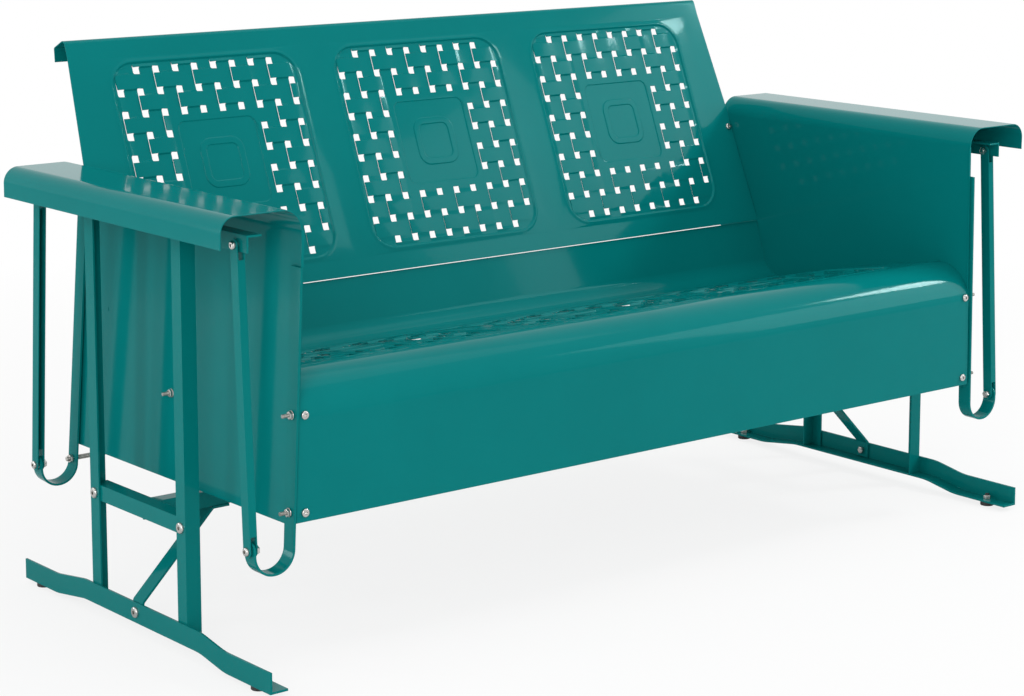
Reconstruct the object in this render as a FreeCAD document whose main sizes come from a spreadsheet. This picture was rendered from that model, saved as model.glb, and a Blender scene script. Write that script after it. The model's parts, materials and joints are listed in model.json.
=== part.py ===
import FreeCAD, Part
import math
import os
import Sketcher
from FreeCAD import Placement, Rotation, Vector
from types import SimpleNamespace

# A three-seat porch glider in folded sheet steel. The seat hangs from a base of angle steel on four
# channel links. X runs to the right end of the bench, Y to the rear and Z up. The origin is on the
# floor, midway between the two ends. Lengths are in millimetres and angles in degrees.

# Driving dimensions, kept in the document's spreadsheet
DIMENSIONS = {
    "angle_leg": 25,
    "angle_wall": 3,
    "skid_face_x": 792,
    "skid_wall": 3.5,
    "skid_height": 32,
    "skid_ledge": 30,
    "skid_front_y": -386,
    "skid_rear_y": 327,
    "skid_end_z": 8,
    "skid_rise": 12,
    "skid_bolt_rise": 17,
    "post_face_x": 788,
    "post_front_y": -160,
    "post_rear_y": 116,
    "post_top_z": 650,
    "rail_top_z": 654,
    "rail_overhang": 27,
    "crossbar_top_z": 210,
    "base_mid_y": -19,
    "brace_width": 28,
    "brace_wall": 4,
    "brace_knee_z": 54,
    "pivot_top_z": 638,
    "pivot_front_y": -305,
    "pivot_rear_y": 261,
    "link_plane_x": 783.5,
    "link_length": 436.5,
    "link_depth": 18.6,
    "link_width": 12.6,
    "link_wall": 2,
    "link_web_gap": 21,
    "front_lean": 2.9,
    "rear_lean": 3.9,
    "pin_radius": 4,
    "hole_radius": 4.1,
    "strap_wall": 3.5,
    "strap_width": 25.5,
    "strap_top_z": 602,
    "strap_front_bottom_z": 162,
    "strap_rear_bottom_z": 165,
    "tie_rod_half": 733,
    "strap_front_tilt": 1.06,
    "strap_rear_tilt": 3.7,
    "strap_rear_gap": 3.5,
    "open_hole_radius": 6.2,
    "head_radius": 6.4,
    "head_height": 4.2,
    "nut_radius": 6.8,
    "nut_height": 6.2,
    "clearance": 0.3,
    "foot_x": 777,
    "foot_front_y": -334,
    "foot_rear_y": 293,
    "foot_radius": 12,
    "sheet": 1.6,
    "wall_top_x": 698,
    "wall_top_z": 664,
    "wall_splay": 1.92,
    "wall_bottom_z": 226,
    "arm_face_x": 834.5,
    "arm_top_z": 686,
    "arm_lip_z": 639.5,
    "arm_front_y": -343,
    "arm_rear_y": 282,
    "apron_bottom_y": -337,
    "apron_bottom_z": 231,
    "apron_top_y": -340.5,
    "roll_radius": 65,
    "crest_y": -271,
    "crest_z": 443.5,
    "crown_y": -89,
    "crown_z": 410.8,
    "riser_foot_y": 161.5,
    "riser_foot_z": 352,
    "riser_radius": 40,
    "riser_top_z": 457.3,
    "back_foot_y": 188.4,
    "back_foot_z": 459.5,
    "back_lean": 21.9,
    "back_length": 443.8,
    "top_fold_radius": 8,
    "top_fold_depth": 36.3,
    "top_fold_fall": 2.5,
    "lip_depth": 43.1,
    "lip_fall": 24.8,
    "back_top_half": 683.6,
    "hole_pitch": 36.8,
    "hole_side": 12,
    "panel_pitch": 435,
    "panel_centre": 218.3,
    "bead_side": 372,
    "bead_radius": 50,
    "bead_width": 9,
    "bead_rise": 1.6,
    "boss_side": 146,
}

document = FreeCAD.newDocument("GliderBench")
sheet = document.addObject("Spreadsheet::Sheet", "Sizes")
for row, (alias, number) in enumerate(DIMENSIONS.items(), start=1):
    sheet.set(f"A{row}", alias)
    sheet.set(f"B{row}", str(number))
    sheet.setAlias(f"B{row}", alias)
document.recompute()


class Size:
    """A number together with the spreadsheet formula that gives it."""

    def __init__(self, number, formula):
        self.number = number
        self.formula = formula

    def __add__(self, other):
        return Size(self.number + value(other), f"({self.formula} + {formula(other)})")

    def __radd__(self, other):
        return self + other

    def __sub__(self, other):
        return Size(self.number - value(other), f"({self.formula} - {formula(other)})")

    def __rsub__(self, other):
        return Size(value(other) - self.number, f"({formula(other)} - {self.formula})")

    def __mul__(self, other):
        return Size(self.number * value(other), f"({self.formula} * {formula(other)})")

    def __rmul__(self, other):
        return self * other

    def __truediv__(self, other):
        return Size(self.number / value(other), f"({self.formula} / {formula(other)})")

    def __neg__(self):
        return self * -1


def sine(angle):
    return Size(math.sin(math.radians(value(angle))), f"sin({formula(angle)})")


def cosine(angle):
    return Size(math.cos(math.radians(value(angle))), f"cos({formula(angle)})")


def value(size):
    return size.number if isinstance(size, Size) else size


def formula(size):
    return size.formula if isinstance(size, Size) else f"({size:.9g})"


dim = SimpleNamespace()
for alias, number in DIMENSIONS.items():
    setattr(dim, alias, Size(number, f"Sizes.{alias}"))

PLANES = {"XY": "XY_Plane", "XZ": "XZ_Plane", "YZ": "YZ_Plane"}
SIDES = (("left", -1), ("right", 1))
FAR = 40
SEAT_GAP = 0.6
FLANGE_EXCESS = 5
SHANK_SIDES = 8
HEAD_SIDES = 12
nodes = []


def body(label):
    piece = document.addObject("PartDesign::Body", label)
    piece.Label = label
    nodes.append(piece)
    return piece


def sketch_on(piece, name, plane, at, lean=0):
    """A sketch on an origin plane of its body, moved along the plane's axis and leaned about its own X."""
    sketch = piece.newObject("Sketcher::SketchObject", name)
    role = PLANES[plane]
    origin = next(item for item in piece.Origin.OriginFeatures if item.Role == role)
    sketch.AttachmentSupport = [(origin, "")]
    sketch.MapMode = "FlatFace"
    height = at * -1 if plane == "XZ" else at * 1
    sketch.AttachmentOffset = Placement(Vector(0, 0, value(height)), Rotation(Vector(1, 0, 0), value(lean)))
    if isinstance(height, Size):
        sketch.setExpression("AttachmentOffset.Base.z", height.formula)
    if isinstance(lean, Size):
        sketch.setExpression("AttachmentOffset.Rotation.Angle", lean.formula)
    return sketch


def polygon(sketch, corners):
    """Straight sides between corners, each corner held by its two distances from the origin."""
    points = [Vector(value(x), value(y), 0) for x, y in corners]
    first = sketch.GeometryCount
    for start, end in zip(points, points[1:] + points[:1]):
        sketch.addGeometry(Part.LineSegment(start, end), False)
    for index, (x, y) in enumerate(corners):
        line = first + index
        following = first + (index + 1) % len(corners)
        sketch.addConstraint(Sketcher.Constraint("Coincident", line, 2, following, 1))
        for kind, distance in (("DistanceX", x), ("DistanceY", y)):
            held = sketch.addConstraint(Sketcher.Constraint(kind, -1, 1, line, 1, value(distance)))
            if isinstance(distance, Size):
                sketch.setExpression(f"Constraints[{held}]", distance.formula)


def rounded(sketch, corners):
    """A closed outline of lines and arcs. A corner is (x, y, radius), and radius 0 leaves it sharp."""
    count = len(corners)
    points = [Vector(value(x), value(y), 0) for x, y, _ in corners]
    entries = []
    for index, (_, _, radius) in enumerate(corners):
        point = points[index]
        towards = (points[index - 1] - point).normalize()
        onwards = (points[(index + 1) % count] - point).normalize()
        half_angle = towards.getAngle(onwards) / 2
        reach = value(radius) / math.tan(half_angle)
        start = point + towards * reach
        end = point + onwards * reach
        bulge = value(radius) * (1 / math.sin(half_angle) - 1)
        middle = point + (towards + onwards).normalize() * bulge
        entries.append((start, middle, end, value(radius) > 0))
    for index, (start, middle, end, is_arc) in enumerate(entries):
        if is_arc:
            sketch.addGeometry(Part.Arc(start, middle, end), False)
        following = entries[(index + 1) % count][0]
        if end.distanceToPoint(following) > 1e-6:
            sketch.addGeometry(Part.LineSegment(end, following), False)


def bore(sketch, hole):
    """A hole with eight flats at the given distance from its centre. There are many, so each is plain."""
    x, y, radius = hole
    reach = radius / math.cos(math.pi / 8)
    turns = [math.pi / 8 + index * math.pi / 4 for index in range(8)]
    polygon(sketch, [(x + reach * math.cos(turn), y + reach * math.sin(turn)) for turn in turns])


def slot(sketch, ends):
    """A strip with round ends, from one end's centre height to the other's, about the second axis."""
    low, high, radius = ends
    low_left = Vector(-radius, low, 0)
    low_right = Vector(radius, low, 0)
    high_left = Vector(-radius, high, 0)
    high_right = Vector(radius, high, 0)
    sketch.addGeometry(Part.LineSegment(high_left, low_left), False)
    sketch.addGeometry(Part.Arc(low_left, Vector(0, low - radius, 0), low_right), False)
    sketch.addGeometry(Part.LineSegment(low_right, high_right), False)
    sketch.addGeometry(Part.Arc(high_right, Vector(0, high + radius, 0), high_left), False)


def round_tip(sketch, tip):
    """The waste above a half circle, which leaves a bar's upper end round."""
    centre, radius = tip
    edge = radius + 1
    right = [(radius, centre), (edge, centre), (edge, centre + edge)]
    points = right + [(-edge, centre + edge), (-edge, centre), (-radius, centre)]
    corners = [Vector(y, z, 0) for y, z in points]
    for start, end in zip(corners, corners[1:]):
        sketch.addGeometry(Part.LineSegment(start, end), False)
    sketch.addGeometry(Part.Arc(corners[-1], Vector(0, centre + radius, 0), corners[0]), False)


def folded(path, thickness):
    """The outline of folded sheet. The path is one face, and the metal lies to its left by thickness."""
    points = [(value(x), value(y)) for x, y, _ in path]
    headings = []
    for (x0, y0), (x1, y1) in zip(points, points[1:]):
        length = math.hypot(x1 - x0, y1 - y0)
        headings.append(((x1 - x0) / length, (y1 - y0) / length))
    other_face = []
    for index, (x, y) in enumerate(points):
        before = headings[max(index - 1, 0)]
        after = headings[min(index, len(headings) - 1)]
        left = (-before[1] - after[1], before[0] + after[0])
        share = thickness / (1 + before[0] * after[0] + before[1] * after[1])
        turn = before[0] * after[1] - before[1] * after[0]
        radius = value(path[index][2])
        if radius > 0:
            radius -= thickness * math.copysign(1, turn)
        other_face.append((x + left[0] * share, y + left[1] * share, radius))
    return [(x, y, value(radius)) for x, y, radius in path] + other_face[::-1]


def add(piece, name, plane, at, length, draw, outline, lean=0):
    """Adds metal from the height at, along the plane's axis, for the given length."""
    sketch = sketch_on(piece, name + "_outline", plane, at, lean)
    draw(sketch, outline)
    pad = piece.newObject("PartDesign::Pad", name)
    pad.Profile = sketch
    pad.Reversed = plane == "XZ"
    set_size(pad, "Length", length)
    document.recompute()
    return pad


def take(piece, name, plane, at, length, draw, *outlines):
    """Removes metal from the height at, along the plane's axis, for the given length."""
    before = piece.Shape.Volume
    sketch = sketch_on(piece, name + "_outline", plane, at)
    for outline in outlines:
        draw(sketch, outline)
    pocket = piece.newObject("PartDesign::Pocket", name)
    pocket.Profile = sketch
    pocket.Reversed = plane != "XZ"
    set_size(pocket, "Length", length)
    document.recompute()
    if piece.Shape.Volume >= before:
        raise RuntimeError(f"{name} removes nothing")
    return pocket


def set_size(feature, field, size):
    if isinstance(size, Size):
        feature.setExpression(field, size.formula)
    else:
        setattr(feature, field, size)


def rectangle(x0, y0, x1, y1):
    return [(x0, y0), (x1, y0), (x1, y1), (x0, y1)]


def stand(piece, x, y, z, lean):
    """Leans an object about X by the given angle and sets its origin."""
    turned = Rotation(Vector(1, 0, 0), value(lean))
    piece.Placement = Placement(Vector(value(x), value(y), value(z)), turned)
    piece.setExpression("Placement.Base.x", formula(x))
    piece.setExpression("Placement.Base.y", formula(y))
    piece.setExpression("Placement.Base.z", formula(z))
    piece.setExpression("Placement.Rotation.Angle", formula(lean))


def outward(side, near, far):
    """The start and length of a span from near to far on one side, along positive X."""
    return (near if side > 0 else -far, far - near)


# Angle steel

def angle_section(side, face_x, corner, toward, leg, wall):
    """An L whose one leg lies along X inward from the face and whose other leg runs along the other axis."""
    outer = face_x * side
    inner = (face_x - wall) * side
    tip = (face_x - leg) * side
    return [
        (outer, corner),
        (tip, corner),
        (tip, corner + wall * toward),
        (inner, corner + wall * toward),
        (inner, corner + leg * toward),
        (outer, corner + leg * toward),
    ]


def skid_band(low, high):
    """The side view of a strip that follows the skid: level ends and a raised middle between easy bends."""
    bend = 130
    front_low, front_high = -265, -199
    rear_high, rear_low = 137, 223
    down = dim.skid_end_z
    up = dim.skid_end_z + dim.skid_rise
    stations = [
        (dim.skid_front_y, down, 0),
        (front_low, down, bend),
        (front_high, up, bend),
        (rear_high, up, bend),
        (rear_low, down, bend),
        (dim.skid_rear_y, down, 0),
    ]
    bottom = [(y, value(z) + value(low), radius) for y, z, radius in stations]
    top = [(y, value(z) + value(high), radius) for y, z, radius in stations]
    return bottom + top[::-1]


def make_skid(name, side):
    skid = body(f"skid_{name}")
    start, length = outward(side, dim.skid_face_x - dim.skid_wall, dim.skid_face_x)
    add(skid, "upright", "YZ", start, length, rounded, skid_band(0, dim.skid_height))
    start, length = outward(side, dim.skid_face_x - dim.skid_ledge, dim.skid_face_x)
    add(skid, "ledge", "YZ", start, length, rounded, skid_band(0, dim.skid_wall))
    start, length = outward(side, dim.skid_face_x - FAR, dim.skid_face_x + FAR)
    bolt_z = dim.skid_end_z + dim.skid_rise + dim.skid_bolt_rise
    for place, y in (("front", dim.foot_front_y), ("rear", dim.foot_rear_y)):
        foot = (dim.foot_x * side, y, dim.hole_radius)
        take(skid, f"{place}_foot_hole", "XY", dim.skid_end_z - 1, dim.skid_wall + 2, bore, foot)
    take(skid, "brace_hole", "YZ", start, length, bore, (dim.base_mid_y, bolt_z, dim.hole_radius))


def make_post(name, side, place):
    """An upright angle. Its outer leg laps the rail, and its cross leg stops under the rail."""
    post = body(f"post_{place}_{name}")
    corner = dim.post_front_y if place == "front" else dim.post_rear_y
    toward = 1 if place == "front" else -1
    foot = dim.skid_end_z + dim.skid_rise + dim.skid_wall
    section = angle_section(side, dim.post_face_x, corner, toward, dim.angle_leg, dim.angle_wall)
    add(post, "angle", "XY", foot, dim.post_top_z - foot, polygon, section)
    rail_bottom = dim.rail_top_z - dim.angle_leg
    cope_x0 = (dim.post_face_x - dim.angle_leg - 1) * side
    cope_x1 = (dim.post_face_x - dim.angle_wall) * side
    cope_low = rail_bottom - 0.5
    cope = [
        (cope_x0, cope_low),
        (cope_x1, cope_low),
        (cope_x1, dim.post_top_z + 1),
        (cope_x0, dim.post_top_z + 1),
    ]
    cope_y = corner - 1 if place == "front" else corner - dim.angle_wall - 1
    take(post, "cope", "XZ", cope_y, dim.angle_wall + 2, polygon, cope)
    start, length = outward(side, dim.post_face_x - 2 * dim.angle_wall, dim.post_face_x + 1)
    bolt_y = corner + dim.angle_leg * toward / 2
    bolt_z = dim.crossbar_top_z - dim.angle_leg * 0.55
    take(post, "bolt_hole", "YZ", start, length, bore, (bolt_y, bolt_z, dim.hole_radius))


def make_crossbar(name, side):
    """The angle between the two posts of one end, inside their outer legs."""
    bar = body(f"crossbar_{name}")
    front = dim.post_front_y + dim.angle_wall + 0.2
    rear = dim.post_rear_y - dim.angle_wall - 0.2
    face = dim.post_face_x - dim.angle_wall
    section = angle_section(side, face, dim.crossbar_top_z, -1, dim.angle_leg, dim.angle_wall)
    add(bar, "angle", "XZ", front, rear - front, polygon, section)
    start, length = outward(side, face - 2 * dim.angle_wall, face + 1)
    bolt_z = dim.crossbar_top_z - dim.angle_leg * 0.55
    for place, corner, toward in (("front", dim.post_front_y, 1), ("rear", dim.post_rear_y, -1)):
        bolt_y = corner + dim.angle_leg * toward / 2
        take(bar, f"{place}_hole", "YZ", start, length, bore, (bolt_y, bolt_z, dim.hole_radius))


def make_top_rail(name, side):
    """The angle under one armrest that carries the two upper pivots of its end."""
    rail = body(f"top_rail_{name}")
    front = dim.pivot_front_y - dim.rail_overhang
    rear = dim.pivot_rear_y + dim.rail_overhang
    face = dim.post_face_x - dim.angle_wall
    section = angle_section(side, face, dim.rail_top_z, -1, dim.angle_leg, dim.angle_wall)
    add(rail, "angle", "XZ", front, rear - front, polygon, section)
    start, length = outward(side, face - 2 * dim.angle_wall, face + 1)
    for place, pivot_y in (("front", dim.pivot_front_y), ("rear", dim.pivot_rear_y)):
        hole = (pivot_y, dim.pivot_top_z, dim.hole_radius)
        take(rail, f"{place}_pivot", "YZ", start, length, bore, hole)


def make_stretcher():
    """The angle that ties the two ends, under the top legs of the crossbars."""
    stretcher = body("stretcher")
    reach = dim.post_face_x - 2 * dim.angle_wall - 0.2
    front = dim.base_mid_y - dim.angle_leg / 2
    top = dim.crossbar_top_z - dim.angle_wall - 0.3
    section = [
        (front, top),
        (front, top - dim.angle_leg),
        (front + dim.angle_wall, top - dim.angle_leg),
        (front + dim.angle_wall, top - dim.angle_wall),
        (front + dim.angle_leg, top - dim.angle_wall),
        (front + dim.angle_leg, top),
    ]
    add(stretcher, "angle", "YZ", -reach, reach * 2, polygon, section)


def make_brace(name, side):
    """A flat bar from the middle of a skid up to the underside of the stretcher, bent at both ends."""
    brace = body(f"brace_{name}")
    foot_z = dim.skid_end_z + dim.skid_rise + dim.skid_wall + 1
    head_z = dim.crossbar_top_z - dim.angle_wall - 0.3 - dim.angle_leg
    run = value(head_z - dim.brace_knee_z)
    foot_x = value(dim.skid_face_x - dim.skid_wall)
    head_x = foot_x - run
    tab = 30
    bend = 8
    path = [
        (foot_x * side, foot_z, 0),
        (foot_x * side, dim.brace_knee_z, bend),
        (head_x * side, head_z, bend),
        ((head_x - tab) * side, head_z, 0),
    ]
    front = dim.base_mid_y - dim.brace_width / 2
    outline = folded(path, value(dim.brace_wall) * side)
    add(brace, "bar", "XZ", front, dim.brace_width, rounded, outline)
    start, length = outward(side, foot_x - FAR, foot_x + 1)
    bolt_z = dim.skid_end_z + dim.skid_rise + dim.skid_bolt_rise
    take(brace, "skid_hole", "YZ", start, length, bore, (dim.base_mid_y, bolt_z, dim.hole_radius))


# Hanger links

def lower_pivot(place):
    """The depth and height of a lower pivot at rest."""
    lean = dim.front_lean if place == "front" else dim.rear_lean
    drop = dim.link_length * cosine(lean)
    run = dim.link_length * sine(lean)
    if place == "front":
        return dim.pivot_front_y - run, dim.pivot_top_z - drop
    return dim.pivot_rear_y + run, dim.pivot_top_z - drop


def make_link(name, side, place):
    """A channel hung from its upper pivot, drawn hanging straight down from the origin and then leaned."""
    link = body(f"hanger_link_{place}_{name}")
    half = dim.link_depth / 2
    inner = dim.link_plane_x - dim.link_width / 2
    outer = dim.link_plane_x + dim.link_width / 2
    start, length = outward(side, inner, outer)
    ends = (-value(dim.link_length), 0, value(half))
    add(link, "bar", "YZ", start, length, slot, ends)
    channel_inner = inner + dim.link_wall
    channel_outer = outer - dim.link_wall
    gap = dim.link_web_gap
    hollow = rectangle(channel_inner * side, -dim.link_length + gap, channel_outer * side, -gap)
    open_y = -half + dim.link_wall if place == "front" else -half - 1
    take(link, "hollow", "XZ", open_y, dim.link_depth - dim.link_wall + 1, polygon, hollow)
    over = dim.link_depth
    upper = rectangle(channel_inner * side, -gap, channel_outer * side, over)
    foot = -dim.link_length
    lower = rectangle(channel_inner * side, foot - over, channel_outer * side, foot + gap)
    take(link, "fork_slots", "XZ", -half - 1, dim.link_depth + 2, polygon, upper, lower)
    start, length = outward(side, inner - 1, outer + 1)
    for end, pivot_z in (("top", 0), ("bottom", -dim.link_length)):
        take(link, f"{end}_pivot", "YZ", start, length, bore, (0, pivot_z, dim.hole_radius))
    lean = -dim.front_lean if place == "front" else dim.rear_lean * 1
    pivot_y = dim.pivot_front_y if place == "front" else dim.pivot_rear_y
    stand(link, 0, pivot_y, dim.pivot_top_z, lean)


# Seat sheets

def wall_x(z):
    """The seat-side face of the arm panel at a height. The wall splays outward towards the floor."""
    splay = math.tan(math.radians(value(dim.wall_splay)))
    return value(dim.wall_top_x) + (value(dim.wall_top_z) - z) * splay


def make_arm_panel(name, side):
    """One sheet: the side wall, folded outward into the flat armrest and down into the outer lip."""
    panel = body(f"arm_panel_{name}")
    top = value(dim.arm_top_z)
    bottom = value(dim.wall_bottom_z)
    front_foot = dim.apron_bottom_y + dim.sheet + 0.3
    front_flange(panel, side, front_foot, bottom, 655)
    lip_bend = 25
    wall_bend = 32
    path = [
        (value(dim.arm_face_x) * side, dim.arm_lip_z, 0),
        (value(dim.arm_face_x) * side, top, lip_bend),
        (wall_x(top) * side, top, wall_bend),
        (wall_x(bottom) * side, bottom, 0),
    ]
    depth = dim.arm_rear_y - dim.arm_front_y + FAR
    outline = folded(path, value(dim.sheet) * side)
    add(panel, "fold", "XZ", dim.arm_front_y, depth, rounded, outline)
    front_trim = [
        (dim.arm_front_y - 2 * FLANGE_EXCESS, bottom - 1),
        (front_foot, bottom - 1),
        (dim.arm_front_y, dim.wall_top_z),
        (dim.arm_front_y - 2 * FLANGE_EXCESS, dim.wall_top_z),
    ]
    rear_trim = [
        (dim.arm_rear_y, top + 1),
        (dim.arm_rear_y, dim.arm_lip_z - 4),
        (dim.arm_rear_y + 22, bottom - 1),
        (dim.arm_rear_y + FAR + 1, bottom - 1),
        (dim.arm_rear_y + FAR + 1, top + 1),
    ]
    start, length = outward(side, dim.wall_top_x - FAR, dim.arm_face_x + FAR)
    take(panel, "front_edge", "YZ", start, length, polygon, front_trim)
    take(panel, "rear_edge", "YZ", start, length, polygon, rear_trim)


def front_flange(panel, side, front_foot, bottom, top):
    """The narrow edge turned inward along the front of the side wall, wider behind the seat's apron.

    It is cut away where the seat's front roll passes from before it to behind it. Its front face
    is left proud here, because one later cut trims it together with the wall's front edge.
    """
    band = [
        (front_foot - FLANGE_EXCESS, bottom),
        (front_foot + dim.sheet, bottom),
        (dim.arm_front_y + dim.sheet, top),
        (dim.arm_front_y - FLANGE_EXCESS, top),
    ]
    start, length = outward(side, dim.wall_top_x - FAR, dim.wall_top_x + FAR)
    add(panel, "flange", "YZ", start, length, polygon, band)
    narrow, wide = 3, 24
    flange_foot = value(dim.apron_bottom_z) + 1
    relief_low, relief_high = 369, 404
    inside_wall = value(dim.sheet) / 2
    outer = [
        ((wall_x(bottom) + inside_wall) * side, bottom - 1),
        ((wall_x(bottom) + 2 * FAR) * side, bottom - 1),
        ((wall_x(bottom) + 2 * FAR) * side, top + 1),
        ((wall_x(top) + inside_wall) * side, top + 1),
    ]
    inner = [
        (wall_x(bottom) * side, bottom - 1),
        (wall_x(flange_foot) * side, flange_foot),
        ((wall_x(flange_foot) - wide) * side, flange_foot),
        ((wall_x(relief_low) - wide) * side, relief_low - wide),
        (wall_x(relief_low) * side, relief_low),
        (wall_x(relief_high) * side, relief_high),
        ((wall_x(relief_high) - narrow) * side, relief_high + narrow),
        ((wall_x(top) - narrow) * side, top + 1),
        ((wall_x(bottom) - 2 * FAR) * side, top + 1),
        ((wall_x(bottom) - 2 * FAR) * side, bottom - 1),
    ]
    front = dim.arm_front_y - 2 * FLANGE_EXCESS
    take(panel, "flange_trim", "XZ", front, 4 * FLANGE_EXCESS, polygon, outer, inner)


def seat_line(y):
    """The height of the seat's upper face at a depth, on the slope behind the crown."""
    fall = value(dim.crown_z - dim.riser_foot_z) / value(dim.riser_foot_y - dim.crown_y)
    return value(dim.crown_z) - (y - value(dim.crown_y)) * fall


def make_seat_pan():
    """One sheet: the apron, the front roll, the gently crowned seat and the riser at the rear."""
    seat = body("seat_pan")
    riser_lean = 16.2
    crown_radius = 800
    riser_height = dim.riser_top_z - dim.riser_foot_z
    riser_top_y = dim.riser_foot_y + riser_height * math.tan(math.radians(riser_lean))
    path = [
        (dim.apron_bottom_y, dim.apron_bottom_z, 0),
        (dim.apron_top_y, dim.crest_z, dim.roll_radius),
        (dim.crest_y, dim.crest_z, 12),
        (dim.crown_y, dim.crown_z, crown_radius),
        (dim.riser_foot_y, dim.riser_foot_z, dim.riser_radius),
        (riser_top_y, dim.riser_top_z, 0),
    ]
    half = wall_x(value(dim.apron_bottom_z))
    outline = folded(path, -value(dim.sheet))
    add(seat, "fold", "YZ", -half, 2 * half, rounded, outline)
    low = value(dim.apron_bottom_z) - 1
    high = value(dim.riser_top_z) + 1
    trims = []
    for _, side in SIDES:
        trims.append([
            ((wall_x(low) - SEAT_GAP) * side, low),
            ((wall_x(low) + FAR) * side, low),
            ((wall_x(low) + FAR) * side, high),
            ((wall_x(high) - SEAT_GAP) * side, high),
        ])
    take(seat, "end_trim", "XZ", dim.apron_top_y - FAR, 700, polygon, *trims)
    for name, side in SIDES:
        side_flange(seat, name, side)


def side_flange(seat, name, side):
    """The turned-down edge that lies against the leaning side wall and is bolted to it."""
    front, rear = -69, 71
    drop = 40
    mid_sheet = value(dim.sheet) / 2
    band = [
        (front, seat_line(front) - mid_sheet),
        (front, seat_line(front) - drop),
        (rear, seat_line(rear) - drop),
        (rear, seat_line(rear) - mid_sheet),
    ]
    face = wall_x(0) - SEAT_GAP
    start, length = outward(side, face - value(dim.sheet), face)
    add(seat, f"flange_{name}", "YZ", start, length, polygon, band, -dim.wall_splay * side)


def perforation(sketch, x0, y0, pitch_y):
    """Square holes on a ten by ten grid, less its four corners and its inner four by four block."""
    half = value(dim.hole_side) / 2
    pitch_x = value(dim.hole_pitch)
    lines = []
    for row in range(10):
        for column in range(10):
            at_corner = row in (0, 9) and column in (0, 9)
            in_boss = 3 <= row <= 6 and 3 <= column <= 6
            if at_corner or in_boss:
                continue
            x = x0 + (column - 4.5) * pitch_x
            y = y0 + (row - 4.5) * pitch_y
            low = [Vector(x - half, y - half, 0), Vector(x + half, y - half, 0)]
            corners = low + [Vector(x + half, y + half, 0), Vector(x - half, y + half, 0)]
            for start, end in zip(corners, corners[1:] + corners[:1]):
                lines.append(Part.LineSegment(start, end))
    sketch.addGeometry(lines, False)


def cut_through(piece, sketch, name, length, reverse):
    before = piece.Shape.Volume
    pocket = piece.newObject("PartDesign::Pocket", name)
    pocket.Profile = sketch
    pocket.Reversed = reverse
    pocket.Length = length
    document.recompute()
    if piece.Shape.Volume >= before:
        raise RuntimeError(f"{name} removes nothing")


def make_backrest():
    """One sheet, drawn upright on its lower edge and leaned back: three pressed panels and a folded top."""
    back = body("backrest")
    length = dim.back_length
    path = [
        (0, 0, 0),
        (0, length, dim.top_fold_radius),
        (dim.top_fold_depth, length - dim.top_fold_fall, dim.top_fold_radius / 2),
        (dim.lip_depth, length - dim.lip_fall, 0),
    ]
    half = wall_x(value(dim.back_foot_z)) - SEAT_GAP
    add(back, "fold", "YZ", -half, 2 * half, rounded, folded(path, -value(dim.sheet)))
    elbow_v = 215
    elbow_z = value(dim.back_foot_z) + elbow_v * math.cos(math.radians(value(dim.back_lean)))
    elbow = wall_x(elbow_z) - SEAT_GAP
    top_half = value(dim.back_top_half)
    straight_v = value(length - dim.lip_fall) - 5
    high = value(length) + 5
    trims = []
    for _, side in SIDES:
        edge = [(half, -1), (elbow, elbow_v), (top_half, straight_v), (top_half, high)]
        edge += [(half + 9, high), (half + 9, -1)]
        trims.append([(x * side, v) for x, v in edge])
    take(back, "edge_trim", "XZ", -5, 60, polygon, *trims)
    thick = value(dim.sheet)
    flange_depth = 18
    flange_top = 200
    flange_half = half + (elbow - half) * flange_top / elbow_v
    for name, side in SIDES:
        strip = [(half * side, 6), (flange_half * side, flange_top)]
        strip += [(x - thick * side, v) for x, v in strip[::-1]]
        add(back, f"flange_{name}", "XZ", thick / 2, flange_depth, polygon, strip)
    raised = sketch_on(back, "bead_outline", "XZ", -dim.bead_rise)
    outer = value(dim.bead_side) / 2
    inner = outer - value(dim.bead_width)
    radius = value(dim.bead_radius)
    for panel in (-1, 0, 1):
        x0 = value(dim.panel_pitch) * panel
        v0 = value(dim.panel_centre)
        square(raised, x0, v0, outer, radius)
        square(raised, x0, v0, inner, radius - value(dim.bead_width))
        square(raised, x0, v0, value(dim.boss_side) / 2, 0)
    bead = back.newObject("PartDesign::Pad", "bead")
    bead.Profile = raised
    bead.Reversed = True
    set_size(bead, "Length", dim.bead_rise + dim.sheet / 2)
    document.recompute()
    holes = sketch_on(back, "perforation_outline", "XZ", -20)
    for panel in (-1, 0, 1):
        perforation(holes, value(dim.panel_pitch) * panel, value(dim.panel_centre), value(dim.hole_pitch))
    cut_through(back, holes, "perforation", 24, False)
    stand(back, 0, dim.back_foot_y, dim.back_foot_z, -dim.back_lean)


def square(sketch, x0, y0, reach, radius):
    rounded(sketch, [
        (x0 - reach, y0 - reach, radius),
        (x0 + reach, y0 - reach, radius),
        (x0 + reach, y0 + reach, radius),
        (x0 - reach, y0 + reach, radius),
    ])


# Straps

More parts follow.
